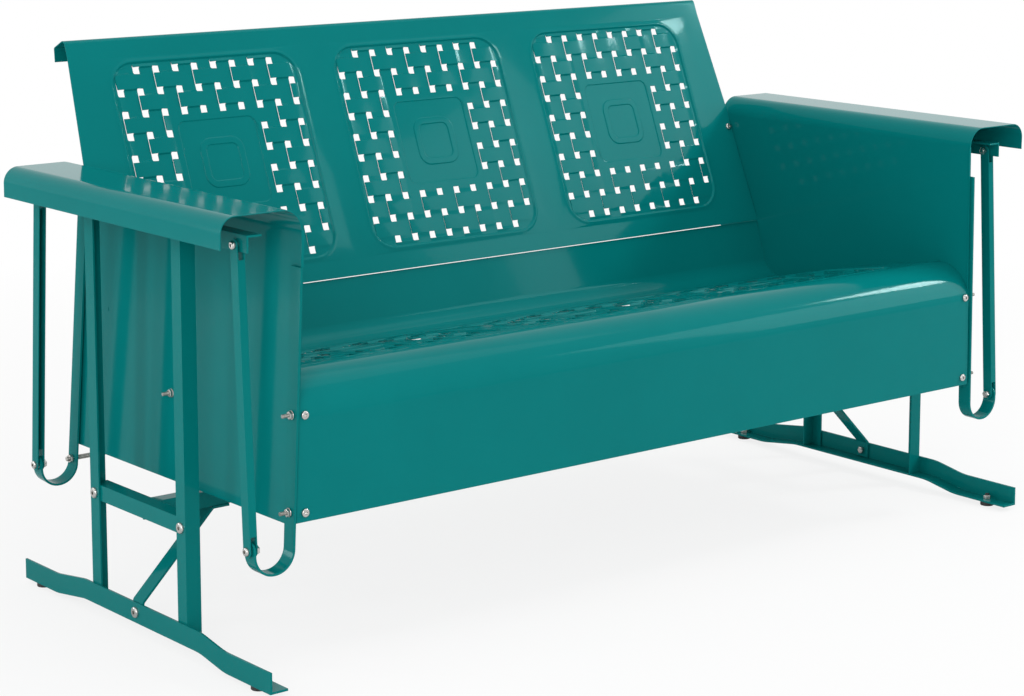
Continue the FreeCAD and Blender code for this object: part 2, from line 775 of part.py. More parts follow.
def make_strap(name, side, place):
    """A flat bar bent into a U. Its long leg is bolted to the arm panel and its short leg has the pivot."""
    strap = body(f"strap_{place}_{name}")
    pivot_y, pivot_z = lower_pivot(place)
    gap = dim.clearance if place == "front" else dim.strap_rear_gap
    wall = dim.strap_wall
    outer_face = dim.link_plane_x + wall / 2
    bottom = dim.strap_front_bottom_z if place == "front" else dim.strap_rear_bottom_z
    bottom = bottom - pivot_z
    top = dim.strap_top_z - pivot_z
    splay = math.tan(math.radians(value(dim.wall_splay)))

    def leg_x(height):
        from_top = value(dim.wall_top_z - pivot_z - height)
        return value(dim.wall_top_x + dim.sheet + gap) + from_top * splay

    bend = (value(outer_face) - leg_x(bottom)) / 2 - 0.2
    tip = value(dim.strap_width) / 2
    path = [
        (outer_face * side, tip, 0),
        (outer_face * side, bottom, bend),
        (leg_x(bottom) * side, bottom, bend),
        (leg_x(top) * side, top, 0),
    ]
    add(strap, "bar", "XZ", -tip, dim.strap_width, rounded, folded(path, -value(wall) * side))
    start, length = outward(side, dim.link_plane_x - FAR / 4, dim.link_plane_x + FAR / 4)
    hole_radius = dim.hole_radius if place == "front" else dim.open_hole_radius
    take(strap, "pivot", "YZ", start, length, bore, (0, 0, hole_radius))
    take(strap, "tip", "YZ", start, length, round_tip, (0, tip))
    if place == "rear":
        start, length = outward(side, dim.wall_top_x, dim.wall_top_x + FAR)
        take(strap, "rod_hole", "YZ", start, length, bore, (0, 0, dim.hole_radius))
    tilt = dim.strap_front_tilt if place == "front" else dim.strap_rear_tilt
    stand(strap, 0, pivot_y, pivot_z, tilt)


# Fasteners, feet and the tie rod, which are turned about X unless they stand upright

def bar(label, side, near, length, y, z, radius, sides):
    """A prism along X that starts at the given distance from the middle and runs outward."""
    prism = document.addObject("Part::Prism", label)
    prism.Polygon = sides
    set_size(prism, "Circumradius", radius)
    set_size(prism, "Height", length)
    prism.Placement = Placement(Vector(0, 0, 0), Rotation(Vector(0, 1, 0), 90 * side))
    put(prism, near * side, y, z)
    return prism


def put(piece, x, y, z):
    for axis, size in (("x", x), ("y", y), ("z", z)):
        piece.setExpression(f"Placement.Base.{axis}", formula(size))


def joined(label, kind, pieces):
    whole = document.addObject(kind, label)
    if kind == "Part::Compound":
        whole.Links = pieces
    else:
        whole.Shapes = pieces
    return whole


def group(label, pieces):
    """Loose pieces of one kind that share a node."""
    pack = joined(label, "Part::Compound", pieces) if len(pieces) > 1 else pieces[0]
    pack.Label = label
    nodes.append(pack)


def bolt(label, side, tip, seat, y, z):
    """A bolt whose shank starts at its tip and whose head stands outward of its seat."""
    shank = bar(f"{label}_shank", side, tip, seat - tip, y, z, dim.pin_radius, SHANK_SIDES)
    head = bar(f"{label}_head", side, seat, dim.head_height, y, z, dim.head_radius, HEAD_SIDES)
    return joined(label, "Part::MultiFuse", [shank, head])


def nut(label, side, near, y, z):
    """A hexagon nut with its bore, from the given distance outward."""
    hexagon = bar(f"{label}_hexagon", side, near, dim.nut_height, y, z, dim.nut_radius, 6)
    thread = bar(f"{label}_bore", side, near - 1, dim.nut_height + 2, y, z, dim.pin_radius, SHANK_SIDES)
    return pierced(label, hexagon, thread)


def pierced(label, solid, tool):
    cut = document.addObject("Part::Cut", label)
    cut.Base = solid
    cut.Tool = tool
    return cut


def make_upper_pivots():
    """Bolts through link and rail. They stay with the rail, and the link's flanges turn on them."""
    bolts, nuts = [], []
    head_seat = dim.link_plane_x + dim.link_width / 2 + dim.clearance
    nut_start = dim.link_plane_x - dim.link_width / 2 - dim.clearance - dim.nut_height
    for name, side in SIDES:
        for place, pivot_y in (("front", dim.pivot_front_y), ("rear", dim.pivot_rear_y)):
            where = (pivot_y, dim.pivot_top_z)
            mark = f"{place}_{name}"
            bolts.append(bolt(f"upper_bolt_{mark}", side, nut_start - 1, head_seat, *where))
            nuts.append(nut(f"upper_nut_{mark}", side, nut_start, *where))
    group("upper_pivot_bolts", bolts)
    group("upper_pivot_nuts", nuts)


def make_lower_pivots():
    """Bolts held by the links' lower flanges. The straps turn on them between the flanges."""
    head_seat = dim.link_plane_x + dim.link_width / 2
    nut_start = dim.link_plane_x - dim.link_width / 2 - dim.nut_height
    for name, side in SIDES:
        for place in ("front", "rear"):
            where = lower_pivot(place)
            mark = f"{place}_{name}"
            pin = bolt(f"lower_bolt_{mark}", side, nut_start - 1, head_seat, *where)
            group(f"lower_pivot_bolt_{mark}", [pin])
            group(f"lower_pivot_nut_{mark}", [nut(f"lower_nut_{mark}", side, nut_start, *where)])


def make_base_bolts():
    """Bolts that hold the crossbars to the posts and the braces to the skids."""
    crossbar_bolts, brace_bolts, nuts = [], [], []
    bar_in = dim.post_face_x - 2 * dim.angle_wall
    brace_in = dim.skid_face_x - dim.skid_wall - dim.brace_wall
    brace_z = dim.skid_end_z + dim.skid_rise + dim.skid_bolt_rise
    for name, side in SIDES:
        for place, corner, toward in (("front", dim.post_front_y, 1), ("rear", dim.post_rear_y, -1)):
            where = (corner + dim.angle_leg * toward / 2, dim.crossbar_top_z - dim.angle_leg * 0.55)
            mark = f"{place}_{name}"
            start = bar_in - dim.nut_height
            crossbar_bolts.append(bolt(f"crossbar_bolt_{mark}", side, start - 2, dim.post_face_x, *where))
            nuts.append(nut(f"crossbar_nut_{mark}", side, start, *where))
        where = (dim.base_mid_y, brace_z)
        start = brace_in - dim.nut_height
        brace_bolts.append(bolt(f"brace_bolt_{name}", side, start - 2, dim.skid_face_x, *where))
        nuts.append(nut(f"brace_nut_{name}", side, start, *where))
    group("crossbar_bolts", crossbar_bolts)
    group("brace_bolts", brace_bolts)
    group("base_nuts", nuts)


def upright(label, x, y, z, height, radius, sides):
    """A prism that stands upright on its base."""
    prism = document.addObject("Part::Prism", label)
    prism.Polygon = sides
    set_size(prism, "Circumradius", radius)
    set_size(prism, "Height", height)
    put(prism, x, y, z)
    return prism


def make_feet():
    """Four levelling glides screwed up through the ends of the skids, with a nut above each."""
    feet, nuts = [], []
    ledge_top = dim.skid_end_z + dim.skid_wall
    for name, side in SIDES:
        for place, y in (("front", dim.foot_front_y), ("rear", dim.foot_rear_y)):
            mark = f"{place}_{name}"
            x = dim.foot_x * side
            stem_height = ledge_top + dim.nut_height + 3
            glide = upright(f"glide_{mark}", x, y, 0, dim.skid_end_z, dim.foot_radius, HEAD_SIDES)
            stem = upright(f"stem_{mark}", x, y, 0, stem_height, dim.pin_radius, SHANK_SIDES)
            feet.append(joined(f"foot_{mark}", "Part::MultiFuse", [glide, stem]))
            hexagon = upright(f"foot_hexagon_{mark}", x, y, ledge_top, dim.nut_height, dim.nut_radius, 6)
            thread = upright(f"foot_bore_{mark}", x, y, 0, stem_height, dim.pin_radius, SHANK_SIDES)
            nuts.append(pierced(f"foot_nut_{mark}", hexagon, thread))
    group("levelling_feet", feet)
    group("foot_nuts", nuts)


def make_tie_rod():
    """The rod across the rear straps, level with the rear pivots, with a nut outside each strap."""
    y, z = lower_pivot("rear")
    rod = bar("tie_rod_bar", 1, -dim.tie_rod_half, dim.tie_rod_half * 2, y, z, dim.pin_radius, SHANK_SIDES)
    group("rear_tie_rod", [rod])
    from_top = dim.wall_top_z - z
    splay = math.tan(math.radians(value(dim.wall_splay)))
    face = dim.wall_top_x + dim.sheet + dim.strap_rear_gap + dim.strap_wall + from_top * splay
    nuts = [nut(f"tie_rod_nut_{name}", side, face + 0.5, y, z) for name, side in SIDES]
    group("tie_rod_nuts", nuts)


for name, side in SIDES:
    make_skid(name, side)
    for place in ("front", "rear"):
        make_post(name, side, place)
    make_crossbar(name, side)
    make_top_rail(name, side)
    make_brace(name, side)
    for place in ("front", "rear"):
        make_link(name, side, place)
        make_strap(name, side, place)
    make_arm_panel(name, side)
make_stretcher()
make_seat_pan()
make_backrest()
make_upper_pivots()
make_lower_pivots()
make_base_bolts()
make_feet()
make_tie_rod()
document.recompute()

for item in document.Objects:
    faults = [state for state in item.State if state in ("Invalid", "Error")]
    if faults:
        raise RuntimeError(f"{item.Label}: {faults}")
os.makedirs("parts", exist_ok=True)
for piece in nodes:
    shape = piece.Shape
    if shape.isNull() or not shape.isValid():
        raise RuntimeError(f"{piece.Label} is not a valid solid")
for piece in nodes:
    piece.Shape.exportStep(f"parts/{piece.Label}.step")
    print(piece.Label, len(piece.Shape.Solids), round(piece.Shape.Volume / 1000, 1))
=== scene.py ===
# %% [markdown]
# A porch glider is a bench of folded sheet steel. It hangs by four links from a base of angle steel, so
# that it swings a little forward and back. This lesson dresses the plain solids of such a glider: it rounds
# the corners of the steel, presses the woven pattern into the seat and the back, and paints everything a
# glossy teal. The solids come first, as a fixed frame in metres. X runs to the bench's right end, Y to its
# rear and Z up.

# %% Load the plain solids
import json
import math

import bmesh
import bpy
from mathutils import Matrix, Vector


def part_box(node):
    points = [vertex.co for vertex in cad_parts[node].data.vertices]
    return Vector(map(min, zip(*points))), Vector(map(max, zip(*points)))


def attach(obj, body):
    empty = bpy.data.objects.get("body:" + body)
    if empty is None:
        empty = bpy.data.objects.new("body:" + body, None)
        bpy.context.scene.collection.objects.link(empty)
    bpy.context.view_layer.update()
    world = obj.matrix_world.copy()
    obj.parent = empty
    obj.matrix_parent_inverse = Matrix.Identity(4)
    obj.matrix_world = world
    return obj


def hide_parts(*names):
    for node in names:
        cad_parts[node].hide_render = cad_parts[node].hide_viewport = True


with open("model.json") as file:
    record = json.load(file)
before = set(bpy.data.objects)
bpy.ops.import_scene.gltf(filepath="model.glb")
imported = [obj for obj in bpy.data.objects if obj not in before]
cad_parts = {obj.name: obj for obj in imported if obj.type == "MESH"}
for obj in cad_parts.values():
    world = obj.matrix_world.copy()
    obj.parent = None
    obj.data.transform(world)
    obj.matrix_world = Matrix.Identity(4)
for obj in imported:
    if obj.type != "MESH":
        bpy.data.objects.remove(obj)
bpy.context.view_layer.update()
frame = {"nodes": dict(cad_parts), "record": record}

mm = 0.001

# %% [markdown]
# The camera stands in front of the bench, off to its left and a little above it. Its place and its lens
# come from lines in the photograph that are level or upright on the real bench. The picture was cropped
# from a larger one, and a vertical lens shift repeats that crop.

# %% Camera
camera_data = bpy.data.cameras.new("porch_camera")
camera_data.lens = 90.954
camera_data.sensor_width = 36
camera_data.shift_y = -0.1496
camera_data.clip_end = 60
camera = bpy.data.objects.new("porch_camera", camera_data)
camera.location = (-2.70737, -3.31423, 1.2516)
camera.rotation_euler = (math.radians(81.3), 0, math.radians(-38.7465))
bpy.context.scene.collection.objects.link(camera)
bpy.context.scene.camera = camera
print("camera", [round(c, 3) for c in camera.location])

# %% [markdown]
# Shader maths reads best as plain sums. A Wire stands for one output socket of a material, and adding or
# multiplying two wires adds the Math node that does it. A Finish is a material while it is being mixed: its
# put method makes any other node from the node's type, its settings, and what its sockets are given.

# %% Wires and finishes


class Wire:
    """One output socket that can be used in a sum."""

    def __init__(self, finish, socket):
        self.finish = finish
        self.socket = socket

    def sum(self, operation, first, second):
        return self.finish.put("ShaderNodeMath", {"operation": operation}, {0: first, 1: second})

    def __add__(self, other):
        return self.sum("ADD", self, other)

    def __radd__(self, other):
        return self.sum("ADD", other, self)

    def __sub__(self, other):
        return self.sum("SUBTRACT", self, other)

    def __rsub__(self, other):
        return self.sum("SUBTRACT", other, self)

    def __mul__(self, other):
        return self.sum("MULTIPLY", self, other)

    def __rmul__(self, other):
        return self.sum("MULTIPLY", other, self)


class Finish:
    """A material's nodes around one Principled shader."""

    def __init__(self, name):
        self.material = bpy.data.materials.new(name)
        self.material.use_nodes = True
        self.tree = self.material.node_tree
        self.shader = self.tree.nodes["Principled BSDF"]
        self.output = self.tree.nodes["Material Output"]

    def plug(self, socket, given):
        if isinstance(given, Wire):
            self.tree.links.new(given.socket, socket)
        else:
            socket.default_value = given

    def put(self, kind, settings, sockets, output=0):
        """A node of this kind. Its settings come first, and then each socket gets its value or wire."""
        node = self.tree.nodes.new(kind)
        for name, setting in settings.items():
            if name == "stops":
                first, last = node.color_ramp.elements
                (first.position, first.color), (last.position, last.color) = setting
            else:
                setattr(node, name, setting)
        for name, given in sockets.items():
            self.plug(node.inputs[name], given)
        return Wire(self, node.outputs[output])

    def blend(self, share, first, second):
        """A colour between two colours."""
        return self.put("ShaderNodeMix", {"data_type": "RGBA"}, {0: share, 6: first, 7: second}, 2)

    def noise(self, place, size, detail=2.0):
        """Cloudy values from 0 to 1 whose lumps are about this size in metres."""
        return self.put("ShaderNodeTexNoise", {}, {"Vector": place, "Scale": 1 / size, "Detail": detail})

    def surface(self, sockets):
        for name, given in sockets.items():
            self.plug(self.shader.inputs[name], given)


def place_on_piece(finish):
    """Where a point is on its piece, which moves with the piece."""
    return finish.put("ShaderNodeTexCoord", {}, {}, "Object")


# %% [markdown]
# The bench is powder coated: dry colour is baked on to the steel and flows out to a hard, glossy skin.
# Close up, such a skin isn't quite flat. It has the fine ripple of an orange's peel, and its gloss changes
# a little from place to place. So the base colour has slow clouds, the roughness a faint haze, and a
# shallow bump makes the ripple. The photograph's reflections look teal too, so the shader's own reflection
# is tinted and the clear coat over it is thin.

# %% Teal powder coat


def powder_coat(name, deep, bright, ripple):
    paint = Finish(name)
    place = place_on_piece(paint)
    cloud = paint.noise(place, 0.35)
    haze = paint.noise(place, 0.04, 3.0)
    peel = paint.noise(place, 0.0035, 1.0)
    colour = paint.blend(cloud * 0.7 + haze * 0.3, deep, bright)
    skin = paint.put("ShaderNodeBump", {}, {"Height": peel, "Strength": ripple, "Distance": 0.0002})
    paint.surface({
        "Base Color": colour,
        "Roughness": 0.07 + haze * 0.05,
        "Normal": skin,
        "IOR": 1.45,
        "Specular IOR Level": 0.09,
        "Specular Tint": (0.22, 0.85, 0.85, 1),
        "Coat Weight": 0.045,
        "Coat Roughness": 0.03,
        "Coat IOR": 1.45,
    })
    return paint.material


sheet_paint = powder_coat("teal_sheet_paint", (0.0008, 0.150, 0.149, 1), (0.0012, 0.184, 0.182, 1), 0.10)
frame_paint = powder_coat("teal_frame_paint", (0.0008, 0.145, 0.142, 1), (0.0012, 0.178, 0.174, 1), 0.16)
print("paints:", sheet_paint.name, frame_paint.name)

# %% [markdown]
# The bolts and nuts are zinc plated. Plating is bright but not polished: it is a little rougher in some
# spots than in others, and it has a warm or a cool tinge where the zinc was passivated. Noise between two
# metal colours and noise in the roughness give both. The glides are dull black plastic with a fine grain.

# %% Zinc plate and black plastic


def zinc_plate():
    plate = Finish("zinc_plate")
    place = place_on_piece(plate)
    tinge = plate.noise(place, 0.006, 3.0)
    spots = plate.noise(place, 0.0012, 4.0)
    colour = plate.blend(tinge, (0.47, 0.45, 0.40, 1), (0.56, 0.57, 0.58, 1))
    skin = plate.put("ShaderNodeBump", {}, {"Height": spots, "Strength": 0.15, "Distance": 0.0001})
    plate.surface({"Base Color": colour, "Metallic": 1.0, "Roughness": 0.14 + spots * 0.22, "Normal": skin})
    return plate.material


def black_plastic():
    plastic = Finish("black_glide_plastic")
    place = place_on_piece(plastic)
    grain = plastic.noise(place, 0.0008, 3.0)
    scuff = plastic.noise(place, 0.008, 2.0)
    colour = plastic.blend(scuff, (0.018, 0.018, 0.019, 1), (0.035, 0.034, 0.033, 1))
    skin = plastic.put("ShaderNodeBump", {}, {"Height": grain, "Strength": 0.3, "Distance": 0.0001})
    plastic.surface({"Base Color": colour, "Roughness": 0.5 + scuff * 0.2, "Normal": skin})
    return plastic.material


zinc = zinc_plate()
plastic = black_plastic()
finishes = {"sheet_paint": sheet_paint, "frame_paint": frame_paint, "plated_steel": zinc,
            "foot_plastic": plastic}
slots = {part["node"]: part["material_slot"] for part in frame["record"]["subparts"]}
for name, solid in frame["nodes"].items():
    solid.data.materials.clear()
    solid.data.materials.append(finishes[slots[name]])
bodies = {node: body for body, members in frame["record"]["behaviour"]["bodies"].items() for node in members}
print("finished solids:", len(frame["nodes"]))

# %% [markdown]
# Everything that is modelled here goes through the same few hand moves: clear the selection, take one piece
# into edit mode, pick its faces or edges by their place, use an operator on them, and come out again.

# %% Hand moves


def take_up(piece):
    """Only this piece is selected."""
    bpy.ops.object.select_all(action="DESELECT")
    piece.select_set(True)
    bpy.context.view_layer.objects.active = piece


def open_mesh(piece):
    take_up(piece)
    bpy.ops.object.mode_set(mode="EDIT")
    bpy.ops.mesh.select_all(action="SELECT")


def close_mesh():
    bpy.ops.object.mode_set(mode="OBJECT")


def pick(piece, kind, wanted):
    """Selects the corners, edges or faces whose middle passes the test, and says how many there are."""
    bpy.ops.mesh.select_mode(type=kind)
    bpy.ops.mesh.select_all(action="DESELECT")
    mesh = bmesh.from_edit_mesh(piece.data)
    items = {"VERT": mesh.verts, "EDGE": mesh.edges, "FACE": mesh.faces}[kind]
    count = 0
    for item in items:
        middle = item.co if kind == "VERT" else sum((c.co for c in item.verts), Vector()) / len(item.verts)
        if wanted(middle, item):
            item.select_set(True)
            count += 1
    mesh.select_flush_mode()
    bmesh.update_edit_mesh(piece.data)
    return count


def settle(piece):
    """Writes the piece's place, turn and scale into its mesh, so that its object sits at the origin."""
    take_up(piece)
    bpy.ops.object.transform_apply(location=True, rotation=True, scale=True)


def is_open(edge):
    """True for an edge that borders on a hole or on nothing."""
    return len(edge.link_faces) < 2


def add_modifier(piece, kind, **settings):
    """A modifier that is set and applied at once."""
    take_up(piece)
    modifier = piece.modifiers.new(kind.lower(), kind)
    for name, setting in settings.items():
        setattr(modifier, name, setting)
    bpy.ops.object.modifier_apply(modifier=modifier.name)


def soften(piece, width, angle=40, clamp=True):
    """Small rounds on the sharp edges catch the light. Weighted normals keep the large faces flat."""
    add_modifier(piece, "BEVEL", width=width, segments=2, limit_method="ANGLE",
                 angle_limit=math.radians(angle), use_clamp_overlap=clamp)
    take_up(piece)
    bpy.ops.object.shade_smooth_by_angle(angle=math.radians(35))
    add_modifier(piece, "WEIGHTED_NORMAL", weight=50, keep_sharp=True)


def finish_piece(piece, node, finish):
    """The piece takes over from a plain solid: its name, its paint and what it rides on."""
    piece.name = node + "_dressed"
    piece.data.name = piece.name
    piece.data.materials.clear()
    piece.data.materials.append(finish)
    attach(piece, bodies[node])
    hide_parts(node)
    return piece


# %% [markdown]
# The base, the links and the straps are rolled or bent steel bars. Real bars have no knife edges, and the
# paint rounds them further. Their plain solids have the right shape, so each is copied, its loose triangles
# are merged into whole faces, and every sharp edge gets a round of half a millimetre.

# %% Rounded steel bars


def rounded_copy(node, finish, width):
    piece = bpy.data.objects.new(node, frame["nodes"][node].data.copy())
    bpy.context.scene.collection.objects.link(piece)
    open_mesh(piece)
    bpy.ops.mesh.remove_doubles(threshold=0.000001)
    bpy.ops.mesh.dissolve_limited(angle_limit=math.radians(1))
    close_mesh()
    soften(piece, width)
    return finish_piece(piece, node, finish)


bars = [node for node, slot in slots.items() if slot == "frame_paint"]
for node in bars:
    rounded_copy(node, frame_paint, 0.5 * mm)
print("rounded bars:", len(bars))

# %% [markdown]
# The seat, the back and the arms are each one sheet that a press brake has folded. An outline could be
# extruded to the same shape, but the woven panels are far easier to make while the sheet is flat, so it is
# folded as the real one is. The flat blank gets a row of edges at each bend, and what lies beyond each row
# is turned a few degrees at a time about an axis that runs along X. First the drawing's corners are turned
# into a flat length and a list of small turns.

# %% Fold a flat sheet


def fold_plan(corners, step=5):
    """The flat length of a folded path, and its hinges as (distance along the sheet, turn in radians)."""
    points = [Vector((0, y, z)) * mm for y, z, _ in corners]
    runs = [after - before for before, after in zip(points, points[1:])]
    hinges = []
    spent = 0
    for index, run in enumerate(runs):
        spent += run.length
        if index + 1 == len(runs):
            break
        following = runs[index + 1]
        turn = math.atan2(run.y * following.z - run.z * following.y, run.dot(following))
        radius = corners[index + 1][2] * mm
        tangent = radius * math.tan(abs(turn) / 2)
        arc = radius * abs(turn)
        count = max(1, math.ceil(abs(math.degrees(turn)) / step))
        start = spent - tangent
        for number in range(count):
            hinges.append((start + arc * (number + 0.5) / count, turn / count))
        spent = start + arc - tangent
    return spent, hinges


def flat_blank(corners, low_x, high_x):
    """A flat sheet as long as the folded path. It starts at the first corner and points to the second."""
    length, hinges = fold_plan(corners)
    start = Vector((0, corners[0][0], corners[0][1])) * mm
    second = Vector((0, corners[1][0], corners[1][1])) * mm
    heading = (second - start).normalized()
    lean = math.atan2(heading.z, heading.y)
    middle = start + heading * length / 2 + Vector(((low_x + high_x) / 2 * mm, 0, 0))
    bpy.ops.mesh.primitive_plane_add(size=1, location=middle, rotation=(lean, 0, 0))
    sheet = bpy.context.object
    sheet.scale = ((high_x - low_x) * mm, length, 1)
    settle(sheet)
    return sheet, start, heading, hinges


def fold(sheet, start, heading, hinges):
    """Scores the sheet at every hinge, and then turns what lies beyond each hinge, one after the other."""
    open_mesh(sheet)
    for distance, _ in hinges:
        bpy.ops.mesh.select_all(action="SELECT")
        bpy.ops.mesh.bisect(plane_co=start + heading * distance, plane_no=heading)
    close_mesh()
    along = [(corner.co - start).dot(heading) for corner in sheet.data.vertices]
    open_mesh(sheet)
    bpy.ops.mesh.select_mode(type="VERT")
    place, reached = start.copy(), 0
    for distance, turn in hinges:
        place = place + heading * (distance - reached)
        reached = distance
        bpy.ops.mesh.select_all(action="DESELECT")
        mesh = bmesh.from_edit_mesh(sheet.data)
        for corner, far in zip(mesh.verts, along):
            corner.select_set(far > distance + 0.00001)
        mesh.select_flush_mode()
        bmesh.update_edit_mesh(sheet.data)
        bpy.ops.transform.rotate(value=-turn, orient_axis="X", orient_type="GLOBAL", center_override=place)
        heading = Matrix.Rotation(turn, 3, "X") @ heading
    close_mesh()


# %% [markdown]
# The seat and the back have three pressed panels each. A press tool cuts ten rows of small square holes,
# pushes up pads between them like the strips of a woven basket, and shears each pad free at its left end,
# so that light shows through a slit there. The lower rows rise less. A rounded bead frames the panel, and a
# plain square with a small ring fills its middle. A picture or a bump could suggest all that, but light has
# to pass through the holes, so they are cut. One panel is modelled flat, with X to the right, Y up the
# sheet and Z towards the sitter, and is copied six times.

# %% The woven panel's sizes
PITCH = 36.8
HOLE = 12
PANEL_HALF = 186
PANEL_RADIUS = 50
FIELD_LEVEL = -1.2
BEAD_STEP = 3
BEAD_RISE = 1.4
FIELD_HALF = PANEL_HALF - 3 * BEAD_STEP
PAD_RISE = 2.4
CENTRES = [(number - 4.5) * PITCH for number in range(10)]
# How far out the innermost holes begin.
HOLES_FROM = 2.5 * PITCH - HOLE / 2
print("panel:", 2 * PANEL_HALF, "mm wide with", 10 * 10 - 4 - 4 * 4, "holes")

# %% [markdown]
# The panel starts as a square with round corners. Insetting its large face leaves a narrow ring around a
# smaller face, and the same move can lift or sink that face. So three insets make the bead: one goes up,
# one runs level, and one comes down to the field inside.

# %% A rounded square with stepped rings


def rounded_square(half, radius, rings):
    """A flat square with round corners. Each ring is (inset, rise) and leaves a smaller face inside it."""
    bpy.ops.mesh.primitive_plane_add(size=2 * half * mm, location=(0, 0, 0))
    square = bpy.context.object
    open_mesh(square)
    bpy.ops.mesh.bevel(offset=radius * mm, segments=8, affect="VERTICES")
    for inset, rise in rings:
        pick(square, "FACE", lambda middle, face: middle.xy.length < mm and len(face.verts) > 8)
        bpy.ops.mesh.inset(thickness=inset * mm, depth=rise * mm)
    close_mesh()
    return square


def level_faces(piece, level):
    """Selects the faces that lie flat at a level."""
    return pick(piece, "FACE", lambda middle, face: all(
        abs(corner.co.z - level * mm) < 0.01 * mm for corner in face.verts))


def in_hole(place):
    """True in the middle of a hole."""
    column = round(place.x / mm / PITCH + 4.5)
    row = round(4.5 - place.y / mm / PITCH)
    if not (0 <= column <= 9 and 0 <= row <= 9) or (column in (0, 9) and row in (0, 9)):
        return False
    off_x = abs(place.x / mm - CENTRES[column])
    off_y = abs(place.y / mm - CENTRES[9 - row])
    return off_x < HOLE / 2 and off_y < HOLE / 2


def reach(middle):
    """How far out a place is, as the half width of the square through it, in millimetres."""
    return max(abs(middle.x), abs(middle.y)) / mm


# %% [markdown]
# The flat field inside the bead is cut into a grid of strips, one cut at each edge of every row and column
# of holes, and two more for the level neck between two rows of pads. Then the small faces where a hole
# belongs are deleted, and so is the square in the middle. A Boolean could cut the holes too, but this way
# the corners stay in straight rows that fold cleanly.

# %% Cut the field into strips and open the holes
OPENING = 83
NECK_HALF = 3.5
bead = [(BEAD_STEP, BEAD_RISE), (BEAD_STEP, 0), (BEAD_STEP, FIELD_LEVEL - BEAD_RISE)]
panel = rounded_square(PANEL_HALF, PANEL_RADIUS, bead)
open_mesh(panel)
cuts_x = [centre + offset for centre in CENTRES for offset in (-HOLE / 2, HOLE / 2)]
cuts_y = [centre + offset for centre in CENTRES for offset in (-HOLE / 2, -NECK_HALF, NECK_HALF, HOLE / 2)]
for cut in cuts_x + [-OPENING, OPENING]:
    level_faces(panel, FIELD_LEVEL)
    bpy.ops.mesh.bisect(plane_co=(cut * mm, 0, 0), plane_no=(1, 0, 0))
for cut in cuts_y + [-OPENING, OPENING]:
    level_faces(panel, FIELD_LEVEL)
    bpy.ops.mesh.bisect(plane_co=(0, cut * mm, 0), plane_no=(0, 1, 0))
pick(panel, "FACE", lambda middle, face: in_hole(middle) or reach(middle) < OPENING)
bpy.ops.mesh.delete(type="FACE")
close_mesh()
print("strip faces:", len(panel.data.polygons))

# %% [markdown]
# A pad fills the space between two holes of one column and reaches to the next hole. Every second one is
# raised, shifted by one place from row to row, which gives the basket weave. Its left end is split from the
# sheet before its corners are lifted, so a slit opens there, while its other end slopes back down into the
# sheet.

# %% Shear the pads free and push them up


def pad_row(row):
    """The lower and the upper edge of a row of pads."""
    top = (4.5 - row) * PITCH - HOLE / 2
    return top - PITCH + HOLE, top


def pad_at(x, y):
    """The left edge of the raised pad that reaches a place, or None."""
    for row in range(-1, 10):
        bottom, top = pad_row(row)
        if not bottom - 0.01 < y < top + 0.01:
            continue
        for column in range(-1, 10):
            left = (column - 4.5) * PITCH - HOLE / 2
            if (row + column) % 2 == 0 and left - 0.01 < x < left + PITCH + 0.01:
                return left
    return None


def on_pad_end(middle, edge):
    """True for an edge at the left end of a pad."""
    first, second = edge.verts
    upright = abs(first.co.x - second.co.x) < 0.01 * mm
    left = pad_at(middle.x / mm, middle.y / mm)
    at_end = left is not None and abs(middle.x / mm - left) < 0.01
    return upright and at_end and not is_open(edge) and reach(middle) > HOLES_FROM - 0.1


def lifted(place, corner):
    """True for the corners of the raised part of a pad, its own corners only at the sheared end."""
    out = reach(place)
    if abs(place.z - FIELD_LEVEL * mm) > 0.01 * mm or out > FIELD_HALF - 1:
        return False
    left = pad_at(place.x / mm, place.y / mm)
    if left is None:
        return False
    beside_opening = out < HOLES_FROM + 0.1
    if abs(place.x / mm - left) > 0.01:
        return not beside_opening
    if beside_opening and place.x / mm < HOLES_FROM - 0.1:
        return False
    return all(face.calc_center_median().x > place.x for face in corner.link_faces)


open_mesh(panel)
slits = pick(panel, "EDGE", on_pad_end)
bpy.ops.mesh.edge_split(type="EDGE")
raised = 0
for row in range(-1, 10):
    bottom, top = pad_row(row)
    raised += pick(panel, "VERT", lambda place, corner: bottom - 0.1 < place.y / mm < top + 0.1 and
                   lifted(place, corner))
    rise = PAD_RISE * min(1, 1.25 - 0.09 * row)
    bpy.ops.transform.translate(value=(0, 0, rise * mm))
close_mesh()
print("slits:", slits, "raised corners:", raised)

# %% [markdown]
# The plain middle lies a little lower than the pads, and its ring is a flat ridge. Each is a rounded square
# of its own. Bridging joins two loops of open edges with a band of faces, so the ring is bridged to the
# middle and the middle to the square opening of the field. Where one loop has many more corners than the
# other, as between the panel and the four straight edges of its part of the sheet, Fill makes better faces
# than Bridge.

# %% The plain middle, the ring and the part of the sheet around the panel
WINDOW = (217.5, 190)
MIDDLE_LEVEL = FIELD_LEVEL - 1.2
MIDDLE_HALF = 74.6
MIDDLE_RADIUS = 13.6
RING_HALF = 43
RING_RADIUS = 23
RING_RISE = 1.2
RING_CREST = 9.8
SLOPE = 1.6


def join(*pieces):
    """All pieces become a part of the first."""
    take_up(pieces[0])
    for piece in pieces[1:]:
        piece.select_set(True)
    if len(pieces) > 1:
        bpy.ops.object.join()
    return pieces[0]


def open_middle(piece):
    """Takes out the large face in the middle."""
    open_mesh(piece)
    pick(piece, "FACE", lambda middle, face: middle.xy.length < mm and len(face.verts) > 8)
    bpy.ops.mesh.delete(type="FACE")
    close_mesh()


